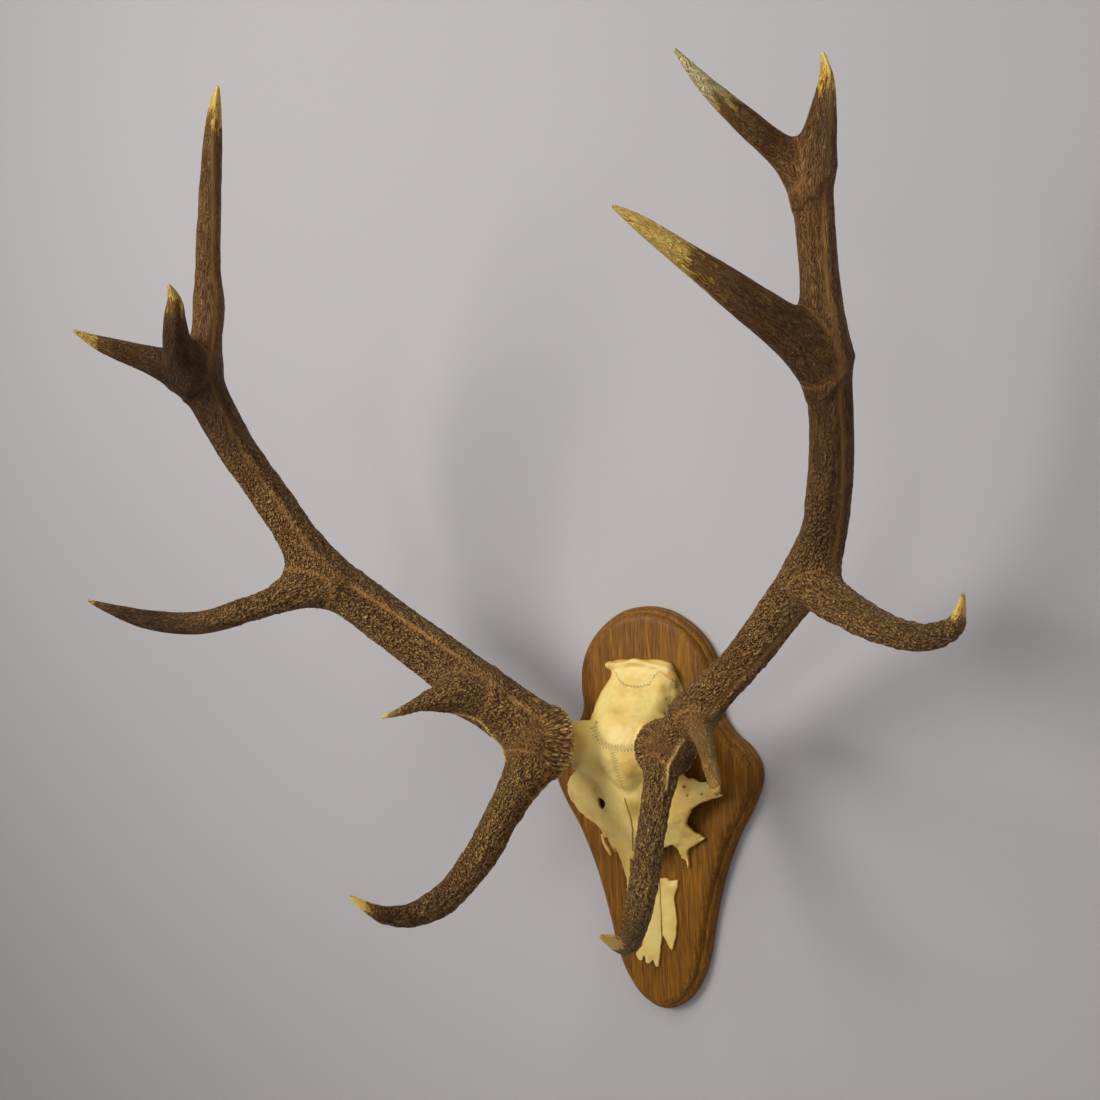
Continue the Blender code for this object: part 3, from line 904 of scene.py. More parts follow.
@dataclass(frozen=True)
class VarnishedOak:
    """Brown-stained oak sawn along the trunk, moulded, then varnished: dark pores under a satin skin."""

    light: str = "#a46d15"
    middle: str = "#7e500e"
    dark: str = "#563406"
    pore: str = "#221104"
    pore_width: float = 0.5
    pore_length: float = 11.0
    ring_spacing: float = 5.0

    def grain(self, tree: Tree, place: Socket) -> tuple[Socket, Socket]:
        """Draw yearly rings and pores, both far longer than wide, with the grain along the board's height.

        Args:
            tree: The material's node tree.
            place: Where on the board.

        Returns:
            The wood's tone, and its pores.
        """
        squeeze = self.pore_width / self.pore_length
        drawn, thin = (
            add_node(tree, "Mapping", {"Vector": place, "Scale": (1.0, 1.0, height)})
            for height in (0.05, squeeze)
        )
        ring_noise = {"Vector": drawn, "Scale": 1 / (self.ring_spacing * MM), "Detail": 2.0}
        streak_noise = {"Vector": drawn, "Scale": 700.0, "Detail": 3.0, "Roughness": 0.6}
        pore_noise = {"Vector": thin, "Scale": 1 / (self.pore_width * MM * 2.0), "Detail": 1.0}
        rings, streak, pores = (
            add_node(tree, "TexNoise", noise) for noise in (ring_noise, streak_noise, pore_noise)
        )
        both = {0: rings, 1: 0.8, 2: streak}
        return add_node(tree, "Math", both, operation="MULTIPLY_ADD"), pores

    def make(self) -> Material:
        """Build the material in the board's own place.

        Returns:
            The finished material.
        """
        material, tree, shader = new_material("varnished_brown_oak")
        place = add_node(tree, "TexCoord", result="Object")
        tone, pores = self.grain(tree, place)
        even = add_node(tree, "MapRange", {0: tone, 1: 0.6, 2: 1.2})
        stops = ((0.0, self.dark), (1.0, self.light), (0.5, self.middle))
        wood = add_node(tree, "ValToRGB", {0: even}, stops=stops)
        clouds = add_node(tree, "TexNoise", {"Vector": place, "Scale": 11.0, "Detail": 2.0})
        worn = add_node(tree, "Attribute", attribute_name="wear", result="Fac")
        layers = (
            (clouds, 0.42, 0.72, 0.35, self.dark),
            (pores, 0.54, 0.66, 0.5, self.pore),
            (worn, 0.0, 1.0, 1.0, self.light),
        )
        tree.links.new(layered(tree, wood, layers), shader.inputs["Base Color"])
        sunk = add_node(tree, "MapRange", {0: pores, 1: 0.54, 2: 0.64, 3: 1.0, 4: 0.0})
        bump = add_node(tree, "Bump", {"Height": sunk, "Strength": 0.5, "Distance": 0.2 * MM})
        tree.links.new(bump, shader.inputs["Normal"])
        varnish = {
            "Roughness": 0.5,
            "IOR": 1.5,
            "Specular IOR Level": 0.18,
            "Coat Weight": 0.04,
            "Coat Roughness": 0.32,
        }
        set_shader(shader, varnish)
        return material


@dataclass(frozen=True)
class Spot:
    """Where points lie beside a branch, in millimetres."""

    along: Array
    to_tip: Array
    radius: Array
    tone: Array
    offset: Array
    beside: Array
    turn: Array

    @property
    def flow(self) -> Array:
        """Places beside the branch and along it, in one row for each point."""
        return np.column_stack([self.beside, self.along])

    def wandering(self, seed: int) -> Array:
        """Places beside and along the branch, bent by noise so that no row of pearls runs straight.

        Args:
            seed: Picks the noise.

        Returns:
            One row for each point.
        """
        along = self.along[:, None]
        near = np.hstack([self.beside / 13.0, along / 11.0])
        wander = np.stack([soft_noise(near, seed + 1), soft_noise(near, seed + 2)], axis=1)
        return np.hstack([self.beside + wander * 1.8, along])


@dataclass(frozen=True)
class Branch:
    """One beam, tine or foot: a route of (across, out, up, radius) from root to tip.

    tones has one number for each place of the route: how dark the bark is, or how ochre below zero.
    pale is how long its pale point is, whitish how grey-white the point is, pearly how thickly it is
    pearled, streaked how long its end with streaks in place of pearls is, and veins are the turns from
    the inner front at which smooth blood channels run along it.
    """

    name: str
    route: Table
    tones: tuple[float, ...] = ()
    pale: float = 0.0
    whitish: float = 0.0
    pearly: float = 1.0
    streaked: float = 0.0
    veins: tuple[float, ...] = ()
    flatness: float = 0.82
    bluntness: float = 2.0
    slim_root: float = 0.0
    spacing: float = 3.0
    sides: int = 24

    @cached_property
    def rows(self) -> Array:
        """Rows read closely along the route, with the root slimmed where it hides in the beam."""
        tones = np.array(self.tones or [0.0] * len(self.route))
        rows = smooth_route(np.column_stack([np.array(self.route, float), tones]), self.spacing)
        run = self.passed(world(rows))
        rows[:, 3] *= 1.0 - self.slim_root * hill(run, 16.0)
        return rows

    @cached_property
    def centres(self) -> Array:
        """Places of the centre line in world axes."""
        return world(self.rows)

    @staticmethod
    def passed(centres: Array) -> Array:
        """Length of the line up to each of its points."""
        steps = np.linalg.norm(np.diff(centres, axis=0), axis=1)
        return np.concatenate([[0.0], np.cumsum(steps)])

    @cached_property
    def run(self) -> Array:
        """How far along the branch each row is."""
        return self.passed(self.centres)

    @cached_property
    def frames(self) -> tuple[Array, Array]:
        """Two directions square to the line that travel along it without twisting.

        Returns:
            For each row, the first direction, which is the last row's less its part along the line,
            and the second.
        """
        tangents = np.gradient(self.centres, axis=0)
        tangents /= np.linalg.norm(tangents, axis=1)[:, None]
        first = np.empty_like(tangents)
        carried = INNER_FRONT if abs(tangents[0] @ INNER_FRONT) < 0.9 else UP
        for index, tangent in enumerate(tangents):
            carried = carried - tangent * (carried @ tangent)
            carried = carried / np.linalg.norm(carried)
            first[index] = carried
        return first, np.cross(tangents, first)

    def tube(self) -> Solid:
        """Carry a flattened ring along the route and close both ends.

        Returns:
            A closed solid in metres.
        """
        first, second = self.frames
        turns = np.arange(self.sides) * 2 * math.pi / self.sides
        ring = first[:, None] * np.cos(turns)[:, None] + second[:, None] * np.sin(turns)[:, None]
        ring = ring * self.rows[:, 3][:, None, None]
        ring -= (ring @ INNER_FRONT)[..., None] * INNER_FRONT * (1.0 - self.flatness)
        points = (self.centres[:, None] + ring).reshape(-1, 3)
        return closed_solid(points, ring_faces(len(self.rows), self.sides))

    def locate(self, points: Array) -> Spot:
        """Find the nearest place on the centre line to each point.

        The nearest row is found first, then the nearest place on the stretches on both sides of it.

        Args:
            points: Places in world axes, in millimetres.

        Returns:
            Where the points lie beside the branch.
        """
        centres = self.centres
        nearest = np.empty(len(points), int)
        for start in range(0, len(points), 20000):
            part = points[start : start + 20000]
            table = (centres**2).sum(1) - 2.0 * part @ centres.T
            nearest[start : start + 20000] = table.argmin(1)
        best = np.full(len(points), np.inf)
        low = np.zeros(len(points), int)
        share = np.zeros(len(points))
        for shift in (-1, 0):
            trial = np.clip(nearest + shift, 0, len(centres) - 2)
            run = centres[trial + 1] - centres[trial]
            rel = points - centres[trial]
            part = np.clip((rel * run).sum(1) / (run * run).sum(1), 0.0, 1.0)
            distance = ((rel - part[:, None] * run) ** 2).sum(1)
            closer = distance < best
            best = np.where(closer, distance, best)
            low = np.where(closer, trial, low)
            share = np.where(closer, part, share)
        between = share[:, None]
        centre = centres[low] * (1 - between) + centres[low + 1] * between
        radius, tone = (self.rows[low, 3:] * (1 - between) + self.rows[low + 1, 3:] * between).T
        along = self.run[low] * (1 - share) + self.run[low + 1] * share
        offset = points - centre
        first, second = self.frames
        beside = np.stack([(offset * first[low]).sum(1), (offset * second[low]).sum(1)], axis=1)
        tangent = np.cross(first[low], second[low])
        front = INNER_FRONT - tangent * (tangent @ INNER_FRONT)[:, None]
        turn = np.arctan2((offset * np.cross(tangent, front)).sum(1), (offset * front).sum(1))
        return Spot(along, self.run[-1] - along, radius, tone, offset, beside, turn)

    def distance(self, points: Array) -> tuple[Array, Array]:
        """Measure how far points are outside the flattened round surface, and which way is out.

        The offset from the centre line is stretched back along the flattened direction, and its
        length is set against the radius. Behind the root it grows faster, so the root ends bluntly.

        Args:
            points: Places in world axes, in millimetres.

        Returns:
            Distances, negative inside, and the direction in which each grows fastest.
        """
        spot = self.locate(points)
        extra = (1.0 / self.flatness - 1.0) * INNER_FRONT
        stretched = spot.offset + (spot.offset @ INNER_FRONT)[:, None] * extra
        length = np.maximum(np.linalg.norm(stretched, axis=1), 1e-6)
        growth = stretched / length[:, None]
        growth = growth + (growth @ INNER_FRONT)[:, None] * extra
        start = self.centres[1] - self.centres[0]
        start = start / np.linalg.norm(start)
        behind = np.maximum((self.centres[0] - points) @ start, 0.0)
        growth = growth - np.where(behind > 0.0, self.bluntness, 0.0)[:, None] * start
        return length - spot.radius + self.bluntness * behind, growth

    def vein_distance(self, spot: Spot, seed: int) -> Array:
        """Measure round the branch from the nearest blood channel, which wanders as it runs.

        Args:
            spot: Where the points lie beside the branch.
            seed: Picks how the channels wander.

        Returns:
            The distance of each point, in millimetres.
        """
        vein = np.full(len(spot.along), NO_CHANNEL)
        for number, turn in enumerate(self.veins):
            bend = 0.22 * np.sin(spot.along / 75.0 + number * 2.0 + seed)
            apart = np.abs(np.angle(np.exp(1j * (spot.turn - turn - bend)))) * spot.radius
            vein = np.minimum(vein, apart)
        return vein

    def point_wear(self, spot: Spot, frayed: Array, torn: Array) -> tuple[Array, Array]:
        """Tell how far the bark is worn off towards the point.

        Args:
            spot: Where the points lie beside the branch.
            frayed: How much the edge of the bare point is moved at each place.
            torn: The same for its grey-white end.

        Returns:
            How bare and how grey-white each place is, both from 0 to 1.
        """
        pale = max(self.pale, 6.0)
        white = self.whitish * ease(1.0, 0.5, spot.to_tip / pale + torn)
        if self.pale <= 0.0:
            return np.zeros(len(spot.along)), white
        return ease(1.15, 0.25, spot.to_tip / pale + frayed * 1.2), white


@dataclass(frozen=True)
class Foot:
    """The coronet: a ring of pearls round the flat face that grew on the skull."""

    centre: tuple[float, float, float]
    axis: tuple[float, float, float]
    size: float
    beads: int
    rings: tuple[tuple[float, float], ...] = (
        (1.0, 31.0), (3.0, 33.0), (7.0, 31.5), (13.0, 28.5), (20.0, 25.0), (26.0, 17.0),
    )

    @cached_property
    def middle(self) -> Array:
        """Centre of the flat face in world axes."""
        return world(np.array([self.centre], float))[0]

    @cached_property
    def normal(self) -> Array:
        """Direction out of the skull."""
        axis = world(np.array([self.axis], float))[0]
        return axis / np.linalg.norm(axis)

    def branch(self) -> Branch:
        """The foot's own solid, as a short branch along its axis."""
        route = tuple(
            (*world((self.middle + self.normal * height)[None])[0], radius * self.size)
            for height, radius in self.rings
        )
        return Branch("foot", route, flatness=1.0, spacing=1.5, sides=40)

    def measure(self, points: Array) -> tuple[Array, Array, Array]:
        """Read points in the foot's own frame.

        Args:
            points: Places in world axes, in millimetres.

        Returns:
            Height above the flat face, distance from the axis, and the turn round it.
        """
        rel = points - self.middle
        height = rel @ self.normal
        flat = rel - height[:, None] * self.normal
        across = np.cross(self.normal, UP)
        across /= np.linalg.norm(across)
        upward = np.cross(across, self.normal)
        return height, np.linalg.norm(flat, axis=1), np.arctan2(flat @ upward, flat @ across)


@dataclass(frozen=True)
class Relief:
    """What the surface of an antler carries at each vertex."""

    height: Array
    tops: Array
    tone: Array
    tip: Array
    rim: Array
    whitish: Array
    smoothed: Array
    streaked: Array
    vein: Array


@dataclass
class Antler:
    """One antler, grown in one piece: its branches melted together on its foot."""

    name: str
    branches: tuple[Branch, ...]
    foot: Foot
    nodes: tuple[str, ...]
    seed: int
    voxel: float
    web: float = 8.0
    foot_web: float = 3.5
    # How far off the foot's flat face the antler is sawn
    foot_gap: float = 0.5
    keels: tuple[Table, ...] = ()
    # Forks that are webbed more widely: (across, out, up, how much wider)
    wide_forks: Table = ()
    fork_reach: float = 30.0
    # Painted shade, darker bark where a recess lies in shade: (across, out, up, reach)
    painted_shade_spots: Table = ()
    finish: PearledAntler = field(default_factory=PearledAntler)

    def limbs(self) -> tuple[Branch, ...]:
        """Every branch with the foot as the last one."""
        return (*self.branches, self.foot.branch())

    def body(self) -> Mesh:
        """Sweep each branch, saw it at the foot and melt them all into one skin.

        Returns:
            The rough skin.
        """
        solids = []
        sawn = Vector((self.foot.middle + self.foot.normal * self.foot_gap) * MM)
        normal = Vector(self.foot.normal)
        for limb in self.limbs():
            solid = limb.tube()
            parts = [*solid.verts, *solid.edges, *solid.faces]
            cut = bmesh.ops.bisect_plane(
                solid, geom=parts, plane_co=sawn, plane_no=normal, clear_inner=True
            )
            edges = [part for part in cut["geom_cut"] if isinstance(part, bmesh.types.BMEdge)]
            if edges:
                bmesh.ops.holes_fill(solid, edges=edges)
                bmesh.ops.recalc_face_normals(solid, faces=solid.faces)
            solids.append(solid)
        return fused(self.name, solids, self.voxel, 0)

    def distances(self, points: Array) -> tuple[Array, Array]:
        """Measure points from every limb, with far limbs left at a large distance.

        Args:
            points: Places in world axes, in millimetres.

        Returns:
            One column of distances for each limb, and the directions in which they grow.
        """
        limbs = self.limbs()
        near = np.full((len(points), len(limbs)), NO_LIMB)
        growth = np.zeros((len(points), len(limbs), 3))
        for column, limb in enumerate(limbs):
            reach = limb.rows[:, 3].max() + 30.0
            low = limb.centres.min(0) - reach
            high = limb.centres.max(0) + reach
            close = ((points > low) & (points < high)).all(1)
            if close.any():
                near[close, column], growth[close, column] = limb.distance(points[close])
        return near, growth

    def webs(self, points: Array) -> Array:
        """Width of the webs between limbs: narrow round the foot, full further out.

        Args:
            points: Places in world axes, in millimetres.

        Returns:
            The width at each place.
        """
        away = np.linalg.norm(points - self.foot.middle, axis=1)
        web = self.foot_web + (self.web - self.foot_web) * ease(32.0, 75.0, away)
        for *middle, wider in self.wide_forks:
            web = web + wider * around(points, middle, self.fork_reach)
        return web

    def falling(self, points: Array, near: Array) -> Array:
        """How much each limb counts at a point: 1 for the nearest, less for limbs further off.

        Args:
            points: Places in world axes, in millimetres.
            near: Their distances from each limb.

        Returns:
            One column for each limb.
        """
        return np.exp(-(near - near.min(1)[:, None]) / self.webs(points)[:, None])

    def settle(self, points: Array) -> Array:
        """Move points onto the smooth surface that blends all limbs, with webs in the forks.

        The blended distance is the smallest one less web times the logarithm of the sum of the
        falling shares. Behind the foot's flat face the distance from that face takes over.

        Args:
            points: Places in world axes, in millimetres.

        Returns:
            The moved points.
        """
        for _ in range(4):
            near, growth = self.distances(points)
            falling = self.falling(points, near)
            total = falling.sum(1)
            blended = near.min(1) - self.webs(points) * np.log(total)
            outward = (growth * (falling / total[:, None])[..., None]).sum(1)
            behind = self.foot_gap - (points - self.foot.middle) @ self.foot.normal
            flat = behind > blended
            blended = np.where(flat, behind, blended)
            outward = np.where(flat[:, None], -self.foot.normal, outward)
            steep = np.maximum((outward**2).sum(1), 0.2)
            points = points - outward * (np.clip(blended, -4.0, 4.0) / steep)[:, None]
        return points

    def limb_relief(self, limb: Branch, spot: Spot, seed: int) -> Relief:
        """Work out the ridges, pearls and channels of one limb.

        Ridges are smooth noise drawn out along the limb, pearls are rounded caps over scattered
        centres, and a channel is a shallow dip along a line that wanders round the limb.

        Args:
            limb: The branch.
            spot: Where the points lie beside it.
            seed: Picks the pattern.

        Returns:
            The relief of these points.
        """
        flow = spot.wandering(seed)
        rough = np.ones(len(flow))
        if limb.pale > 0.0:
            pointed = max(limb.pale, 18.0)
            rough = ease(pointed * 0.45, pointed * 1.7, spot.to_tip)
        broad, ridge, streak, patch, lump = (
            soft_noise(flow / np.array(size), seed + number)
            for number, size in (
                (3, (13.0, 13.0, 90.0)),
                (4, (6.5, 6.5, 34.0)),
                (5, (3.2, 3.2, 14.0)),
                (8, (28.0, 28.0, 28.0)),
                (9, (34.0, 34.0, 34.0)),
            )
        )
        distance, size = pearl_noise(flow / np.array((4.3, 4.3, 6.2)), seed + 6)
        pearl = np.clip(1.0 - (distance / 0.7) ** 2, 0.0, 1.0) * (0.4 + 0.6 * size)
        vein = limb.vein_distance(spot, seed) + 0.8 * streak + 0.5 * (1.0 + broad)
        channel = hill(vein, 2.2)
        crest = np.clip(1.0 - 3.0 * np.abs(ridge), -0.6, 1.0)
        streaked = ease(1.6, 0.75, spot.to_tip / max(limb.streaked, 1.0) + 0.2 * broad)
        dense = limb.pearly * (0.5 + 0.6 * (0.5 + 0.5 * patch)) * (1.0 - streaked)
        height = 0.8 * lump + 0.6 * broad + 0.7 * crest + 0.35 * streak + 0.6 * hill(vein - 5.5, 2.0)
        height = height + 1.2 * pearl * dense * (1.0 - 0.8 * channel) - 0.4 * dense - 0.5 * channel
        tops = 0.4 + 0.34 * pearl * dense + 0.15 * crest + 0.16 * streak + 0.1 * broad
        tip, white = limb.point_wear(spot, 0.28 * streak + 0.3 * broad + 0.1 * crest, 0.15 * streak)
        return Relief(
            height=height * (1.0 - 0.45 * streaked) * rough,
            tops=np.clip(tops, 0.0, 1.0),
            tone=spot.tone + 0.12 * broad,
            tip=tip,
            rim=np.zeros(len(flow)),
            whitish=white,
            smoothed=np.clip((1.0 - rough) * (1.0 - 0.7 * streaked) + hill(vein, 3.4), 0.0, 1.0),
            streaked=streaked,
            vein=vein + 5.0 * streaked**2,
        )

    def add_keel(self, points: Array, keel: Table, total: dict[str, Array]) -> None:
        """Raise a sharp keel under a fork, pale and smooth along its edge.

        Args:
            points: Places on the smooth surface, in world axes and millimetres.
            keel: The keel's line.
            total: What the surface carries, by name. It is changed in place.
        """
        rows = np.array(keel, float)
        rows[:, :3] = self.settle(world(rows)) * (1.0, -1.0, 1.0)
        line = Branch("keel", tuple(map(tuple, rows)), spacing=1.5)
        apart = np.linalg.norm(line.locate(points).offset, axis=1)
        total["height"] += 1.8 * hill(apart, 2.4)
        total["rim"] = np.maximum(total["rim"], 0.8 * hill(apart, 1.2))
        total["smoothed"] = np.maximum(total["smoothed"], hill(apart, 2.6))

    def relief(self, points: Array) -> Relief:
        """Blend the reliefs of all limbs by how much each rules a point, then add the coronet.

        Args:
            points: Places on the smooth surface, in world axes and millimetres.

        Returns:
            The relief of the whole antler.
        """
        near, _ = self.distances(points)
        falling = self.falling(points, near)
        shares = falling / falling.sum(1)[:, None]
        blended = ("height", "tops", "tone", "tip", "rim", "whitish", "smoothed", "streaked")
        total = {name: np.zeros(len(points)) for name in blended}
        vein = np.full(len(points), NO_CHANNEL)
        for column, limb in enumerate(self.limbs()):
            ruled = shares[:, column] > 0.004
            if not ruled.any():
                continue
            part = self.limb_relief(limb, limb.locate(points[ruled]), self.seed + 20 * column)
            share = shares[ruled, column]
            for name in blended:
                total[name][ruled] += getattr(part, name) * share
            if limb.veins:
                vein[ruled] = part.vein + 12.0 * ease(3.0, 12.0, near[ruled, column])
        # Painted shade: the bark tone is darkened round each recess where the tines shade the foot
        for *middle, reach in self.painted_shade_spots:
            total["tone"] = total["tone"] + 1.2 * around(points, middle, reach)
        for keel in self.keels:
            self.add_keel(points, keel, total)
        return self.with_coronet(points, Relief(vein=vein, **total))

    def flows(self, points: Array) -> dict[str, Array]:
        """Read where points lie along the beam, the nearest tine and the foot, and which one rules.

        Ridges leave the coronet square to its rim, so on the foot the turn round its axis counts
        in full and the height above the skull only for a third.

        Args:
            points: Places on the smooth surface.

        Returns:
            Places in millimetres and shares from 0 to 1, under the names the finish reads.
        """
        near, _ = self.distances(points)
        falling = self.falling(points, near)
        share = falling[:, 1:-1].sum(1) / falling.sum(1)
        nearest = np.where(share > 0.002, near[:, 1:-1].argmin(1), -1)
        along_tine = np.zeros((len(points), 3))
        for number, limb in enumerate(self.branches[1:]):
            grown = nearest == number
            if grown.any():
                along_tine[grown] = limb.locate(points[grown]).flow + 90.0 * number
        height, distance, turn = self.foot.measure(points)
        girth = 22.0 * self.foot.size
        on_foot = np.column_stack([girth * np.cos(turn), girth * np.sin(turn), 0.45 * height])
        rugged = height + 9.0 * soft_noise(points / 8.0, self.seed)
        fan = ease(12.0, 20.0, distance) * ease(36.0, 18.0, rugged)
        return {
            "beam_flow": self.branches[0].locate(points).flow,
            "tine_flow": along_tine,
            "tine_share": np.where(fan > 0.5, 0.0, share),
            "foot_flow": on_foot,
            "foot_share": fan,
        }

    def with_coronet(self, points: Array, plain: Relief) -> Relief:
        """Add the ring of beads and the wavy ridges that run away from it.

        Both are the rounded crests of a cosine round the foot's axis, which wobbles more with the height.

        Args:
            points: Places on the smooth surface.
            plain: The relief without the coronet.

        Returns:
            The relief with it.
        """
        height, distance, turn = self.foot.measure(points)
        circle = np.stack([np.cos(turn) * 4.0, np.sin(turn) * 4.0, height / 9.0], axis=1)
        wobble = 0.16 * soft_noise(circle, self.seed + 11) + 0.08 * soft_noise(circle * 2.3, self.seed + 12)
        wobble = wobble * (0.3 + height / 11.0)
        crest = np.abs(np.cos((turn + 0.4 * wobble) * self.foot.beads / 2.0)) ** 0.8
        ridge = np.abs(np.cos((turn + wobble) * self.foot.beads / 2.0))
        uneven = soft_noise(circle * 1.7, self.seed + 13)
        ring = ease(18.0, 24.0, distance) * ease(6.5, 4.0, height)
        fan = ease(9.0, 18.0, distance) * ease(2.0, 4.5, height) * ease(42.0, 14.0, height)
        raised = ring * ((1.3 + 0.7 * uneven) * crest - 0.6) + fan * (0.7 * ridge - 0.3)
        keep = 1.0 - np.clip(ring + 0.7 * fan, 0.0, 1.0)
        tops = plain.tops * keep + (1.0 - keep) * (0.26 + 0.34 * np.where(height < 5.0, crest, ridge))
        rim = ring * ease(0.3, 0.75, crest) * ease(-0.8, 0.1, uneven)
        return replace(
            plain,
            height=plain.height * keep + raised,
            tops=np.clip(tops, 0.0, 1.0),
            rim=np.maximum(plain.rim, rim),
            smoothed=np.maximum(plain.smoothed, 0.4 * ring),
        )

    def build(self, box: Array) -> Piece:
        """Make the antler and hang its finish on it.

        Args:
            box: Lowest and highest corner that it may reach, in millimetres.

        Returns:
            The finished piece.
        """
        mesh = self.body()
        points = self.settle(read_points(mesh))
        write_points(mesh, points)
        normals = read_normals(mesh)
        relief = self.relief(points)
        write_points(mesh, np.clip(points + normals * relief.height[:, None], *box))
        for name, values in self.flows(points).items():
            keep_value(mesh, name, values)
        keep_value(mesh, "relief", relief.tops)
        # Painted light: how far each face points up, for the olive tint of lit upper faces
        keep_value(mesh, "upward_light", normals[:, 2])
        for name in ("tone", "tip", "vein", "rim", "whitish", "smoothed", "streaked"):
            keep_value(mesh, name, getattr(relief, name))
        return dressed(self.name, mesh, self.finish.make(), self.nodes)


def dressed(name: str, mesh: Mesh, material: Material, nodes: tuple[str, ...]) -> Piece:
    """Put a finished mesh in the scene in place of its solids.

    Args:
        name: The piece's name.
        mesh: Its mesh.
        material: Its finish.
        nodes: The solids that it stands for.

    Returns:
        The finished piece.
    """
    mesh.materials.clear()
    mesh.materials.append(material)
    piece = add_piece(name, mesh)
    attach(piece, "root")
    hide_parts(*nodes)
    log.info("%s: %d faces, stands for %s", name, len(mesh.polygons), ", ".join(nodes))
    return piece


@dataclass
class Skull:
    """Braincase, forehead, pedicles and what is left of the face, cut flat behind."""

    back: float = 20.3
    voxel: float = 1.04
    thickness: float = 5.0
    # Braincase and forehead: (up, reach to the left, to the right, height from the wall, squareness)
    sections: Table = (
        (154, 29, 24, 27, 0.35), (151, 34, 34, 30, 0.35), (146, 34, 38, 33, 0.4), (140, 34, 40, 36, 0.5),
        (134, 37, 43, 40, 0.6), (127, 41.5, 46, 46, 0.65), (120, 46, 48, 53, 0.7), (111, 50, 50, 62, 0.75),
        (102, 51.5, 51, 70, 0.8), (90, 52, 52, 78, 0.7), (74, 51, 51, 83, 0.7), (60, 46, 46, 83, 0.8),
        (48, 38, 38, 80, 0.9), (36, 30, 30, 74, 1.0), (24, 24, 24, 67, 1.1), (12, 20, 20, 60, 1.2),
        (2, 16, 16, 52, 1.2),
    )
    # Face: (up, height of the middle ridge, fall towards the sides for each millimetre across)
    face_rows: Table = (
        (-92, 31, 0.50), (-62, 39, 0.56), (-44, 44, 0.60), (-28, 48, 0.50), (-12, 54, 0.44),
        (5, 60, 0.38), (22, 66, 0.40), (38, 68, 0.36), (54, 66, 0.20),
    )
    face_outline: Table = (
        (-46, 52), (-62, 45), (-80, 34), (-88, 23), (-87, 9), (-82, -4), (-68, -12), (-56, -21),
        (-47, -29), (-41, -47), (-37, -39), (-32, -53), (-30, -66), (-28, -87), (-21, -66),
        (-16, -46), (-9, -52), (-3, -40), (7, -47), (14, -37), (22, -35), (31, -31), (36, -38),
        (42, -57), (44, -37), (63, -25), (50, -13), (51, -4), (58, 8), (70, 15), (90, 21), (79, 32),
        (68, 37), (46, 44), (44, 52),
    )
    tear_hole: tuple[float, float] = (-39.0, 10.0)
    pedicle: Table = (
        (-12, 42, 68, 30), (-28, 54, 71, 26), (-43, 71, 75, 22), (-53, 86, 77.5, 20.5),
        (-61, 99, 79, 22.5),
    )
    brow: Table = ((-48, 79, 59, 11), (-40, 69, 50, 10), (-29, 57, 37, 9), (-19, 50, 22, 8))
    crest: Table = (
        (-37, 25, 147.5, 5.6), (-31, 28, 149, 4.4), (-23, 30, 149.5, 2.6), (-12, 31, 151, 3.0),
        (-3, 31, 152.5, 3.9), (8, 31, 151, 2.9), (18, 31, 148.5, 2.8), (27, 30, 146, 3.7),
        (35, 29, 141.5, 5.6), (40, 27, 134, 4.6),
    )
    splinter: Table = ((-51, 31, -26, 1.9), (-49, 32, -34, 1.6), (-45, 31, -42, 1.4), (-42, 30, -48, 1.0))
    # Low swells and dents of the bone: (across, up, reach across, reach up, height)
    swells: Table = (
        (-4, 94, 24, 12, 3.0), (-3, 111, 17, 6, -2.4), (-3, 58, 9, 16, -1.6), (-6, 25, 6, 16, -1.2),
        (44, 112, 10, 14, -4.0), (-44, 116, 7, 12, -1.5), (-24, 139, 8, 8, 0.8), (24, 136, 10, 8, 1.2),
        (2, 138, 20, 8, -0.8), (44, 127, 9, 4, -3.0), (-36, 140, 5, 4, -1.5), (-60, 8, 16, 14, 1.5),
        (-50, 28, 12, 9, -2.0),
    )
    # Small holes and pits: (across, up, radius)
    pits: Table = (
        (56, 31, 1.9), (58, 22, 1.2), (71, 23, 1.3), (-46, 23, 0.9), (-44, 26, 0.8), (-70, -8, 1.0),
        (41, 104, 1.1), (43, 111, 0.9), (39, 118, 0.8),
    )
    # Tan stains: (across, up, reach)
    tan_spots: Table = (
        (-35, 3, 4), (-60, -8, 8), (-48, -24, 7), (-82, 12, 6), (57, 28, 6), (48, -20, 6), (78, 20, 7),
        (-30, 150, 6), (38, 140, 6), (-48, 118, 7),
    )
    # Olive patches with dark specks, partly stains and partly painted shade on the right temple and down
    # the nose: (across, up, reach, strength)
    olive_stain_and_shade_spots: Table = (
        (46, 110, 14, 1.0), (57, 116, 10, 1.0), (31, 97, 8, 0.8), (36, 82, 9, 0.7), (47, 127, 7, 0.7),
        (12, 38, 13, 0.75), (5, 8, 11, 0.85), (2, -26, 10, 0.7), (-13, -22, 8, 0.4), (-46, 66, 9, 0.3),
    )
    # Grown seams in the bone as (across, up)
    rear_seam: Table = (
        (-24, 141), (-19, 136), (-11, 131), (0, 129), (9, 129), (18, 131), (21, 136), (23, 140), (26, 143),
        (29, 142), (33, 139), (38, 136), (44, 131), (47, 126),
    )
    front_seam: Table = (
        (-28, 92), (-25, 87), (-20, 80), (-13, 75), (-4, 72), (5, 73), (12, 72), (24, 75), (31, 77),
    )
    middle_seam: Table = ((-5, 72), (-4, 60), (-3, 45), (-1, 30))
    nose_seam: Table = ((-4, 18), (-2, 1), (-2, -15), (-10, -38))
    finish: BoiledBone = field(default_factory=BoiledBone)

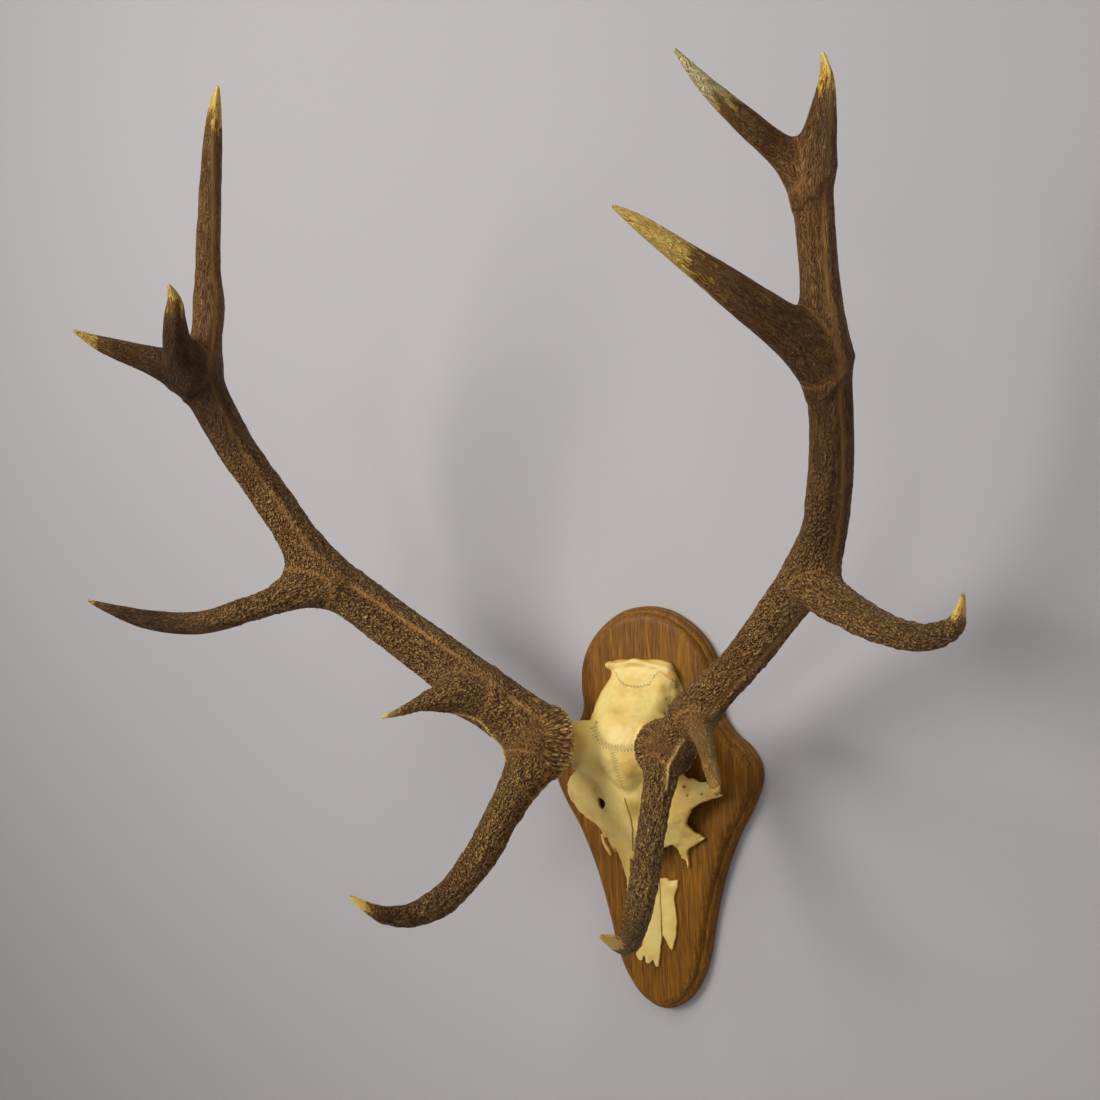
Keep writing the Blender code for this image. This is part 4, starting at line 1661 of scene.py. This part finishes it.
    def cranium(self) -> Solid:
        """Carry an arch with a flat back up through the sections.

        Returns:
            A closed solid in metres.
        """
        table = np.array(self.sections, float)[:, [1, 3, 0, 2, 4]]
        left, height, up, right, square = (row[:, None] for row in smooth_route(table, 2.0).T)
        turns = np.linspace(0.0, math.pi, 61)
        across = np.where(np.cos(turns) < 0.0, left, right) * np.cos(turns)
        out = self.back + (height - self.back) * np.maximum(np.sin(turns), 0.0) ** square
        up = np.broadcast_to(up, across.shape)
        points = np.stack([across, -out, up], axis=-1).reshape(-1, 3)
        return closed_solid(points, ring_faces(*across.shape))

    def face_surface(self, flat: Array) -> tuple[Array, Array]:
        """Height of the face over flat places: a middle ridge that falls off to both sides.

        Args:
            flat: Places as (across, up).

        Returns:
            Distances out of the front and the back of the bone.
        """
        rows = np.array(self.face_rows)
        ridge = np.interp(flat[:, 1], rows[:, 0], rows[:, 1])
        fall = np.interp(flat[:, 1], rows[:, 0], rows[:, 2])
        front = ridge - fall * (np.hypot(flat[:, 0], 12.0) - 12.0)
        front = front + 1.2 * flat_noise(flat / 19.0, 5)
        front = np.maximum(front, self.back + self.thickness)
        return front, front - self.thickness

    def face(self) -> Solid:
        """Cut the broken sheet of face bone, with its hole in front of the left eye.

        Returns:
            A closed solid in metres.
        """
        outline = closed_rows(np.array(self.face_outline, float), 1.6)
        ragged = 1.1 * flat_noise(outline / 3.5, 3) + 1.0 * flat_noise(outline / 1.9, 8)
        outline = outline + ragged[:, None]
        turns = np.arange(18) * math.pi / 9
        bumpy = 1.0 + 0.14 * np.sin(turns * 3.0 + 1.0)
        hole = np.stack([5.4 * np.cos(turns) * bumpy, 6.4 * np.sin(turns) * bumpy], axis=1)
        return slab(outline, [hole + np.array(self.tear_hole)], 3.0, self.face_surface)

    def bone(self) -> Mesh:
        """Melt braincase, pedicles, brows and crest together and smooth them, then add the face.

        Returns:
            The skin of the whole skull.
        """
        mirrored = [
            tuple((-across, out, up, radius) for across, out, up, radius in route)
            for route in (self.pedicle, self.brow)
        ]
        *grown, splinter = (
            Branch("bone", route, flatness=1.0, spacing=2.0).tube()
            for route in (self.pedicle, self.brow, *mirrored, self.crest, self.splinter)
        )
        core = fused("core", [self.cranium(), *grown], self.voxel, 26)
        whole = bmesh.new()
        whole.from_mesh(core)
        bpy.data.meshes.remove(core)
        return fused("skull", [whole, self.face(), splinter], self.voxel, 5)

    def raised(self, points: Array, rear: Array, nose: Array, pitted: Array) -> Array:
        """Work out how far the bone swells or sinks, with its seams and pits.

        Args:
            points: Places on the bone, in millimetres.
            rear: Their distances from the seam across the braincase.
            nose: Their distances from the seam down the nose.
            pitted: How much each lies in a pit, from 0 to 1.

        Returns:
            The height of each place, in millimetres.
        """
        height = 0.8 * soft_noise(points / 15.0, 31) + 0.3 * soft_noise(points / 5.0, 32)
        height -= 0.35 * hill(rear, 0.9) + 0.5 * hill(nose, 1.0) + 1.2 * pitted
        for across, up, wide, tall, rise in self.swells:
            gap = ((points[:, 0] - across) / wide) ** 2 + ((points[:, 2] - up) / tall) ** 2
            height += rise * np.exp(-gap)
        return height

    def build(self, box: Array) -> Piece:
        """Melt the bones together and hang the finish on them.

        Args:
            box: Lowest and highest corner that the skull may reach, in millimetres.

        Returns:
            The finished piece.
        """
        mesh = self.bone()
        points = read_points(mesh)
        normals = read_normals(mesh)
        flat = points[:, [0, 2]]
        outer = (normals[:, 1] < 0.3).astype(float)
        # Each seam's distance and the length along it
        rear, front, middle, nose = (
            nearest_line(flat, np.array(line, float))
            for line in (self.rear_seam, self.front_seam, self.middle_seam, self.nose_seam)
        )
        pitted = spotted(flat, self.pits, 4.0)
        points = points + normals * (self.raised(points, rear[0], nose[0], pitted) * outer)[:, None]
        points[:, 1] = np.minimum(points[:, 1], -self.back)
        write_points(mesh, np.clip(points, *box))
        away = NO_SEAM * (1 - outer)
        # The middle seam is measured from far along, so that its stitches differ from the front one's
        fronted = np.abs(front[0]) < np.abs(middle[0])
        wild = np.where(fronted, front, (middle[0], middle[1] + 500.0))
        for name, (gap, run) in (("fine_seam", rear), ("wild_seam", wild)):
            keep_value(mesh, name, np.column_stack([gap + away, run, 0.0 * gap]))
        soiled = 0.35 * hill(np.minimum(np.abs(front[0]), np.abs(middle[0])), 5.0)
        # Seam dirt, and olive patches that are partly stain and partly painted shade
        soiled = np.maximum(spotted(flat, self.olive_stain_and_shade_spots), soiled)
        cloud = 0.8 + 0.3 * soft_noise(points / 9.0, 41)
        # Painted shade: yellower towards the bottom of the face and on faces turned away from the front
        low_face_shade = ease(60.0, -30.0, flat[:, 1]) * 0.35
        kept = {
            "nose_seam": np.abs(nose[0]) + away,
            "tan": spotted(flat, self.tan_spots),
            "pitted": pitted * outer,
            "stain": np.clip(soiled * cloud, 0.0, 1.0),
            "shade": low_face_shade + 0.5 * ease(0.9, 0.2, -normals[:, 1]),
        }
        for name, values in kept.items():
            keep_value(mesh, name, values)
        return dressed("skull_bone", mesh, self.finish.make(), ("skull",))


@dataclass
class NoseBone:
    """One loose bone of the broken nose, a thin blade that lies on the board."""

    name: str
    outline: Table
    node: str
    back: float = 20.3
    thickness: float = 4.3
    crown: float = 1.4
    finish: BoiledBone = field(default_factory=BoiledBone)

    def surface(self, flat: Array) -> tuple[Array, Array]:
        """Height over flat places: lower at the border, with a faint ripple.

        Args:
            flat: Places as (across, up).

        Returns:
            Distances out of the front and the back of the bone.
        """
        ring = np.array(self.outline, float)
        gap, _ = nearest_line(flat, np.vstack([ring, ring[:1]]))
        dome = ease(0.0, 6.0, np.abs(gap))
        ripple = 0.3 * flat_noise(flat / np.array((5.0, 22.0)), 9)
        front = self.back + self.thickness - self.crown * (1.0 - dome) + ripple * dome
        return np.minimum(front, self.back + self.thickness), np.full(len(flat), self.back)

    def build(self, box: Array) -> Piece:
        """Make the blade and hang its finish on it.

        Args:
            box: Lowest and highest corner that it may reach, in millimetres.

        Returns:
            The finished piece.
        """
        outline = closed_rows(np.array(self.outline, float), 1.5)
        outline = outline + 0.5 * flat_noise(outline / 3.0, 17)[:, None]
        mesh = fused(self.name, [slab(outline, [], 2.0, self.surface)], 0.7, 3)
        points = read_points(mesh)
        count = len(points)
        write_points(mesh, np.clip(points, *box))
        for name in ("fine_seam", "wild_seam"):
            keep_value(mesh, name, np.full((count, 3), NO_SEAM))
        keep_value(mesh, "nose_seam", np.full(count, NO_SEAM))
        for name in ("tan", "stain", "pitted"):
            keep_value(mesh, name, np.zeros(count))
        # Painted shade: an even, slightly uneven yellow tint over the low blade
        keep_value(mesh, "shade", 0.2 + 0.1 * soft_noise(points / 12.0, 3))
        return dressed(self.name, mesh, self.finish.make(), (self.node,))


@dataclass
class Shield:
    """The oak board: a shield with a straight lower edge, a cove, a fillet and a rounded step."""

    half_outline: Table = (
        (0, 207.5), (26, 203), (50, 189), (68, 170), (78, 148), (80.5, 125), (80, 100), (92, 80),
        (109, 65), (118.5, 48), (118, 28), (107, 2), (91, -25), (76, -60), (66.5, -90), (59, -120),
        (51.5, -152), (41, -177), (24, -198), (0, -207.5),
    )
    # Moulding as (inset from the edge, distance out from the wall)
    profile: Table = (
        (0.5, 0.0), (0.0, 0.6), (0.0, 6.4), (0.25, 7.0), (0.9, 7.3), (1.0, 8.0), (1.3, 9.4), (2.0, 10.9),
        (3.0, 12.0), (4.2, 12.7), (5.0, 12.9), (5.3, 13.0), (5.7, 13.1), (5.8, 13.6), (6.0, 15.0),
        (6.6, 16.6), (7.6, 17.9), (9.0, 18.9), (10.6, 19.5), (12.0, 19.8), (13.4, 19.95), (15.0, 20.0),
        (16.0, 20.0),
    )
    # Rows of the moulding whose edges are rubbed, how much, and the size of the patches
    worn_steps: tuple[int, ...] = (3, 4, 12, 13)
    wear: float = 0.45
    wear_size: float = 21.0
    sharp_from: float = 32.0
    finish: VarnishedOak = field(default_factory=VarnishedOak)

    def ring(self) -> tuple[Array, Array]:
        """Read the whole outline evenly, with the direction out of it at each point.

        Returns:
            Points as (across, up), clockwise from the top, and unit directions out.
        """
        half = np.array(self.half_outline, float)
        whole = np.vstack([half, half[-2:0:-1] * np.array((-1.0, 1.0))])
        rows = np.stack([whole[:, 0], whole[:, 0] * 0, whole[:, 1]], axis=1)
        ring = closed_rows(smooth_route(rows, 1.0, closed=True)[:, [0, 2]], 2.0)
        run = np.roll(ring, -1, axis=0) - np.roll(ring, 1, axis=0)
        out = np.stack([-run[:, 1], run[:, 0]], axis=1)
        return ring, out / np.linalg.norm(out, axis=1)[:, None]

    def build(self, box: Array) -> Piece:
        """Carry the moulding's profile round the outline and close the front and the back.

        Args:
            box: Lowest and highest corner that the board may reach, in millimetres.

        Returns:
            The finished piece.
        """
        ring, out = self.ring()
        profile = np.array(self.profile)
        flat = ring[None] - out[None] * profile[:, 0][:, None, None]
        depth = np.broadcast_to(profile[:, 1][:, None], flat.shape[:2])
        points = np.stack([flat[..., 0], -depth, flat[..., 1]], axis=-1).reshape(-1, 3)
        # The outline runs clockwise, so every face is turned round to point outwards
        faces = [[face[0], *face[:0:-1]] for face in ring_faces(*depth.shape)]
        mesh = mesh_of("shield", np.clip(points, *box), faces)
        mesh.shade_smooth()
        mesh.set_sharp_from_angle(angle=math.radians(self.sharp_from))
        steps = np.repeat(np.arange(len(profile)), len(ring))
        edge = np.isin(steps, self.worn_steps).astype(float)
        rubbed = 0.5 + 0.5 * soft_noise(points / self.wear_size, 71)
        keep_value(mesh, "wear", self.wear * edge * rubbed)
        return dressed("oak_shield", mesh, self.finish.make(), ("oak_board",))


@dataclass
class Lamp:
    """One soft square light: its place, the place it looks at, its side, its power and its spread."""

    name: str
    place: tuple[float, float, float]
    target: tuple[float, float, float]
    side: float
    power: float
    spread: float = 180.0

    def build(self) -> None:
        """Put the light in the scene."""
        lamp = bpy.data.lights.new(self.name, "AREA")
        lamp.shape = "SQUARE"
        lamp.size = self.side
        lamp.energy = self.power
        lamp.spread = math.radians(self.spread)
        holder = bpy.data.objects.new(self.name, lamp)
        holder.location = self.place
        away = Vector(self.target) - Vector(self.place)
        holder.rotation_euler = away.to_track_quat("-Z", "Y").to_euler()
        bpy.context.scene.collection.objects.link(holder)


@dataclass
class Studio:
    """Camera, lights, a plain wall behind the trophy and a plain pale floor."""

    lens: float = 42.545
    sensor_width: float = 36.0
    camera_place: tuple[float, float, float] = (0.632, -1.198, 0.259)
    azimuth: float = 32.0
    elevation: float = -0.5
    roll: float = -2.9
    floor_level: float = -0.95
    wall_gap: float = 0.0015
    # How far the wall and the floor reach
    reach: float = 3.0
    wall_paint: str = "#b1adac"
    floor_paint: str = "#cfccc9"
    sky: str = "#d9d8dc"
    lamps: tuple[Lamp, ...] = (
        Lamp("key", (-1.3, -2.6, 1.2), (-0.1, 0.0, 0.6), 1.3, 14.0, 80.0),
        Lamp("upper", (-0.6, -2.3, 2.6), (-0.2, 0.0, 0.3), 1.5, 11.0, 100.0),
        Lamp("front", (0.2, -2.6, 0.3), (0.0, 0.0, 0.0), 0.8, 0.3, 24.0),
        Lamp("side", (2.3, -1.6, 1.2), (0.0, -0.1, 0.2), 1.0, 7.0),
        Lamp("back", (0.5, 1.9, 1.3), (0.0, 0.0, 0.2), 1.2, 4.0),
    )

    def camera(self) -> None:
        """Stand the camera where it sees the trophy from the right and level with it."""
        turn = math.radians(self.azimuth)
        lift = math.radians(self.elevation)
        roll = math.radians(self.roll)
        back = Vector((math.sin(turn) * math.cos(lift), -math.cos(turn) * math.cos(lift), math.sin(lift)))
        right = Vector((math.cos(turn), math.sin(turn), 0.0))
        upward = back.cross(right)
        rolled_right = math.cos(roll) * right + math.sin(roll) * upward
        rolled_up = -math.sin(roll) * right + math.cos(roll) * upward
        lens = bpy.data.cameras.new("camera")
        lens.lens = self.lens
        lens.sensor_width = self.sensor_width
        lens.dof.use_dof = False
        holder = bpy.data.objects.new("camera", lens)
        turned = Matrix((rolled_right, rolled_up, back)).transposed().to_4x4()
        holder.matrix_world = Matrix.Translation(self.camera_place) @ turned
        bpy.context.scene.collection.objects.link(holder)
        bpy.context.scene.camera = holder

    def plain(self, name: str, colour: str, one_sided: bool) -> Material:
        """A dull paint, see-through from behind where it is one-sided.

        Args:
            name: The material's name.
            colour: Its hex colour.
            one_sided: Whether it shows on its front only and lets light pass.

        Returns:
            The material.
        """
        material, tree, shader = new_material(name)
        shader.inputs["Base Color"].default_value = linear(colour)
        shader.inputs["Roughness"].default_value = 0.9
        if one_sided:
            side = add_node(tree, "NewGeometry", result="Backfacing")
            ray = add_node(tree, "LightPath", result="Is Shadow Ray")
            either = add_node(tree, "Math", {0: side, 1: ray}, operation="MAXIMUM")
            clear = add_node(tree, "BsdfTransparent")
            inputs = {0: either, 1: shader.outputs[0], 2: clear}
            both = add_node(tree, "MixShader", inputs)
            tree.links.new(both, tree.nodes["Material Output"].inputs[0])
        return material

    def build(self) -> None:
        """Set the wall, the floor, the lights, the sky and the camera."""
        wide = self.reach / MM
        gap = self.wall_gap / MM
        low = self.floor_level / MM
        wall_corners = [(-wide, gap, low), (wide, gap, low), (wide, gap, wide), (-wide, gap, wide)]
        floor_corners = [(-wide, -wide, low), (wide, -wide, low), (wide, wide, low), (-wide, wide, low)]
        wall, floor = (
            add_piece(name, mesh_of(name, np.array(corners), [(0, 1, 2, 3)]))
            for name, corners in (("wall", wall_corners), ("floor", floor_corners))
        )
        wall.data.materials.append(self.plain("pale_wall_paint", self.wall_paint, True))
        floor.data.materials.append(self.plain("pale_floor_paint", self.floor_paint, False))
        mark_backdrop(wall, floor)
        for lamp in self.lamps:
            lamp.build()
        sky = bpy.data.worlds.new("studio")
        sky.use_nodes = True
        sky.node_tree.nodes["Background"].inputs[0].default_value = linear(self.sky)
        sky.node_tree.nodes["Background"].inputs[1].default_value = 0.2
        bpy.context.scene.world = sky
        bpy.context.scene.view_settings.view_transform = "Standard"
        self.camera()


def left_branches() -> tuple[Branch, ...]:
    """Beam and tines of the antler at the viewer's left, with a three-pointed crown.

    Returns:
        The beam first, then the tines from the lowest up.
    """
    return (
        Branch(
            "beam",
            (
                (-39, 84, 60, 24), (-72, 104, 88, 27), (-109, 122, 118, 27.5), (-157, 138, 157, 25.5),
                (-202, 159, 197, 24), (-236, 178, 229, 24), (-266, 204, 266, 22), (-287, 232, 322, 19),
                (-307, 264, 380, 18.5), (-318, 292, 435, 20), (-316, 300, 460, 19),
                (-306, 303, 490, 14.5), (-297, 307, 522, 15), (-286, 316, 556, 11.5),
                (-266, 330, 602, 10.8), (-243, 346, 645, 9.2), (-224, 359, 676, 6.4), (-209, 368, 695, 1.6),
            ),
            tones=(0.1, 0.1, 0.05, 0, 0, 0, 0.05, 0.1, 0.4, 0.75, 0.6, 0.05, 0.1, 0.1, 0.1, 0.4, 0.3, 0.3),
            pale=62.0, streaked=310.0, veins=(0.5,),
        ),
        Branch(
            "brow",
            (
                (-66, 100, 82, 26), (-73, 119, 61, 24), (-78, 145, 38, 19), (-82, 171, 14, 16.5),
                (-87, 198, -14, 15.5), (-98, 234, -43, 14), (-110, 269, -54, 11), (-119, 298, -49, 8.5),
                (-126, 319, -37, 5), (-132, 333, -24, 1.4),
            ),
            tones=(0.1, 0.1, 0.15, 0.25, 0.1, 0.15, 0.35, 0.4, 0.4, 0.4),
            pale=26.0,
        ),
        Branch(
            "bez",
            (
                (-114, 126, 124, 21), (-124, 143, 128, 18), (-133, 157, 130.5, 16), (-142, 171, 130, 13),
                (-152, 187, 128, 8.5), (-158, 198, 125, 5.6), (-165, 212, 121, 4.0), (-174, 228, 117, 1.3),
            ),
            tones=(0.1, 0.1, 0.1, 0.0, 0.0, -0.2, -0.5, -0.5),
            pale=14.0,
        ),
        Branch(
            "tray",
            (
                (-249, 190, 250, 21), (-274, 218, 244, 18), (-303, 249, 230, 13), (-345, 291, 216, 11.2),
                (-380, 325, 221, 9.5), (-404, 351, 234, 5), (-417, 368, 244, 1.4),
            ),
            tones=(0, 0, 0.2, 0.3, 0.6, 0.5, 0.4),
            pale=16.0, streaked=110.0, slim_root=0.2,
        ),
        Branch(
            "crown_front",
            (
                (-322, 304, 452, 20), (-337, 321, 464, 15), (-351, 349, 475, 11.5), (-366, 379, 485, 7.5),
                (-379, 400, 497, 1.4),
            ),
            tones=(0.75, 0.8, 0.3, 0.1, 0),
            pale=30.0, pearly=0.5, streaked=130.0, slim_root=0.15,
        ),
        Branch(
            "crown_short",
            (
                (-322, 306, 456, 18), (-310, 335, 477, 14), (-293, 354, 499, 10.5), (-279, 366, 514, 7),
                (-276, 375, 528, 1.4),
            ),
            tones=(0.75, 0.8, 0.7, 0.2, 0),
            pale=34.0, pearly=0.4, streaked=130.0, slim_root=0.1,
        ),
    )


def left_antler() -> Antler:
    """Put the left antler together: its branches, foot, keel and forks.

    Returns:
        The antler, not yet built.
    """
    nodes = (
        "left_beam", "left_brow_tine", "left_bez_tine", "left_tray_tine", "left_crown_front_tine",
        "left_crown_short_tine",
    )
    foot = Foot((-59, 96, 79), (-0.42, 0.89, 0.15), 1.0, 44)
    keel = (
        (-134, 165, 117, 1), (-120, 152, 110, 2), (-113, 146, 103, 2), (-107, 138, 93, 2),
        (-102, 132, 83, 2), (-96, 133, 73, 2), (-89, 141, 64, 1),
    )
    forks = ((-138, 152, 140, 6), (-285, 215, 258, 7), (-98, 140, 76, 4))
    return Antler(
        "left_antler", left_branches(), foot, nodes, 100, voxel=1.48, keels=(keel,), wide_forks=forks
    )


def right_branches() -> tuple[Branch, ...]:
    """Beam and tines of the antler at the viewer's right, with a long inner crown point.

    Returns:
        The beam first, then the tines from the lowest up.
    """
    return (
        Branch(
            "beam",
            (
                (40, 84, 58, 20), (76, 104, 86, 21), (120, 122, 126, 19), (169, 142, 167, 18),
                (218, 168, 212, 19), (254, 192, 249, 19.5), (273, 210, 281, 17), (291, 239, 333, 16.5),
                (301, 264, 387, 16.5), (303, 276, 434, 15), (305, 286, 475, 14), (308, 295, 512, 14),
                (315, 301, 543, 12), (321, 304, 568, 9.5), (324, 302, 592, 5.6), (321, 298, 613, 1.4),
            ),
            tones=(-0.1, 0.05, 0.05, 0.05, 0.1, 0.35, 0.5, 0.5, 0.5, -0.1, 0.1, 0.2, 0.45, 0.45, 0.3, 0.2),
            pale=44.0, streaked=300.0, veins=(0.45,),
        ),
        Branch(
            "brow",
            (
                (63, 99, 79, 22), (70, 123, 60, 17), (76, 143, 42, 14.5), (82, 171, 12, 13),
                (89, 199, -16, 12.5), (97, 231, -40, 12), (108, 265, -53, 10), (117, 294, -50, 7.2),
                (121, 319, -39, 5.0), (123, 338, -30, 1.8),
            ),
            tones=(0, 0, -0.05, 0.05, 0, -0.1, 0.3, 0.3, 0, 0),
            pale=36.0,
        ),
        Branch(
            "bez",
            (
                (94, 112, 112, 17), (113, 132, 105.5, 11), (129, 156, 98.5, 8.4), (143, 177, 90, 7.4),
                (156, 198, 79, 6.7), (167, 215, 69, 5.4), (174, 226, 62, 2.6),
            ),
            tones=(-0.15, -0.3, -0.4, -0.5, -0.6, -0.8, -1.1),
            pale=9.0, pearly=0.5, streaked=100.0, slim_root=0.2,
        ),
        Branch(
            "tray",
            (
                (247, 188, 232, 18), (284, 218, 213, 15.5), (326, 257, 199, 11.5), (366, 295, 193, 10),
                (398, 329, 200, 7), (411, 352, 214, 3.6), (417, 366, 225, 1.4),
            ),
            tones=(0.2, -0.1, 0.05, 0.35, 0.45, 0.3, 0.2),
            pale=30.0, slim_root=0.2,
        ),
        Branch(
            "crown_inner",
            (
                (303, 262, 388, 19), (287, 293, 413, 17), (262, 335, 443, 14), (236, 366, 470, 9.5),
                (212, 383, 493, 6), (194, 391, 508, 1.4),
            ),
            tones=(0.5, 0.5, 0.3, 0.1, 0, 0),
            pale=88.0, pearly=0.45, streaked=260.0, slim_root=0.15,
        ),
        Branch(
            "crown_upper",
            (
                (309, 296, 518, 13), (293, 311, 541, 10.6), (275, 337, 564, 9.2), (258, 362, 586, 6.2),
                (242, 377, 611, 1.4),
            ),
            tones=(0.2, -0.2, 0.1, 0, 0),
            pale=58.0, whitish=0.7, pearly=0.3, streaked=200.0, slim_root=0.1,
        ),
    )


def right_antler() -> Antler:
    """Put the right antler together: its branches, foot, keel and the painted shade in the recess under its
    fork.

    Returns:
        The antler, not yet built.
    """
    nodes = (
        "right_beam", "right_brow_tine", "right_bez_tine", "right_tray_tine",
        "right_crown_inner_tine", "right_crown_upper_tine",
    )
    foot = Foot((60, 95, 76), (0.42, 0.89, 0.15), 0.85, 38)
    keel = (
        (97, 126, 90, 1), (88, 123, 81, 2), (83, 126, 72, 2), (82, 134, 64, 2), (84, 140, 56, 2),
        (87, 148, 47, 1),
    )
    # Painted shade in the recess between the brow and bez tines, over the foot
    painted_shade_spots = ((86, 98, 66, 14), (78, 90, 56, 14))
    return Antler(
        "right_antler", right_branches(), foot, nodes, 400, voxel=1.39, keels=(keel,), painted_shade_spots=painted_shade_spots
    )


def nose_bones() -> tuple[NoseBone, NoseBone]:
    """Outline the two loose bones of the nose.

    Returns:
        The left one and the right one, not yet built.
    """
    left = (
        (8.6, -67), (8.6, -106), (8, -130), (2.5, -160), (-1, -160), (-3, -153), (-8, -158),
        (-12, -157), (-13, -147), (-16, -156), (-20, -155), (-23, -149), (-15, -140), (-9, -108),
        (0, -78),
    )
    right = (
        (9.4, -69), (18, -68), (20, -71), (30, -69), (29, -76), (24, -87), (26.5, -109), (24, -127),
        (19, -142), (9.4, -127),
    )
    return (
        NoseBone("left_nose_blade", left, "left_nose_bone"),
        NoseBone("right_nose_blade", right, "right_nose_bone"),
    )


def main() -> None:
    """Build the trophy piece by piece within the solids' box, then the studio."""
    logging.basicConfig(level=logging.INFO, format="%(message)s")
    low, high = (np.array(corner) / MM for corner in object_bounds())
    for part in (Shield(), Skull(), *nose_bones(), left_antler(), right_antler()):
        part.build(np.array((low, high)))
    Studio().build()


if __name__ == "__main__":
    main()
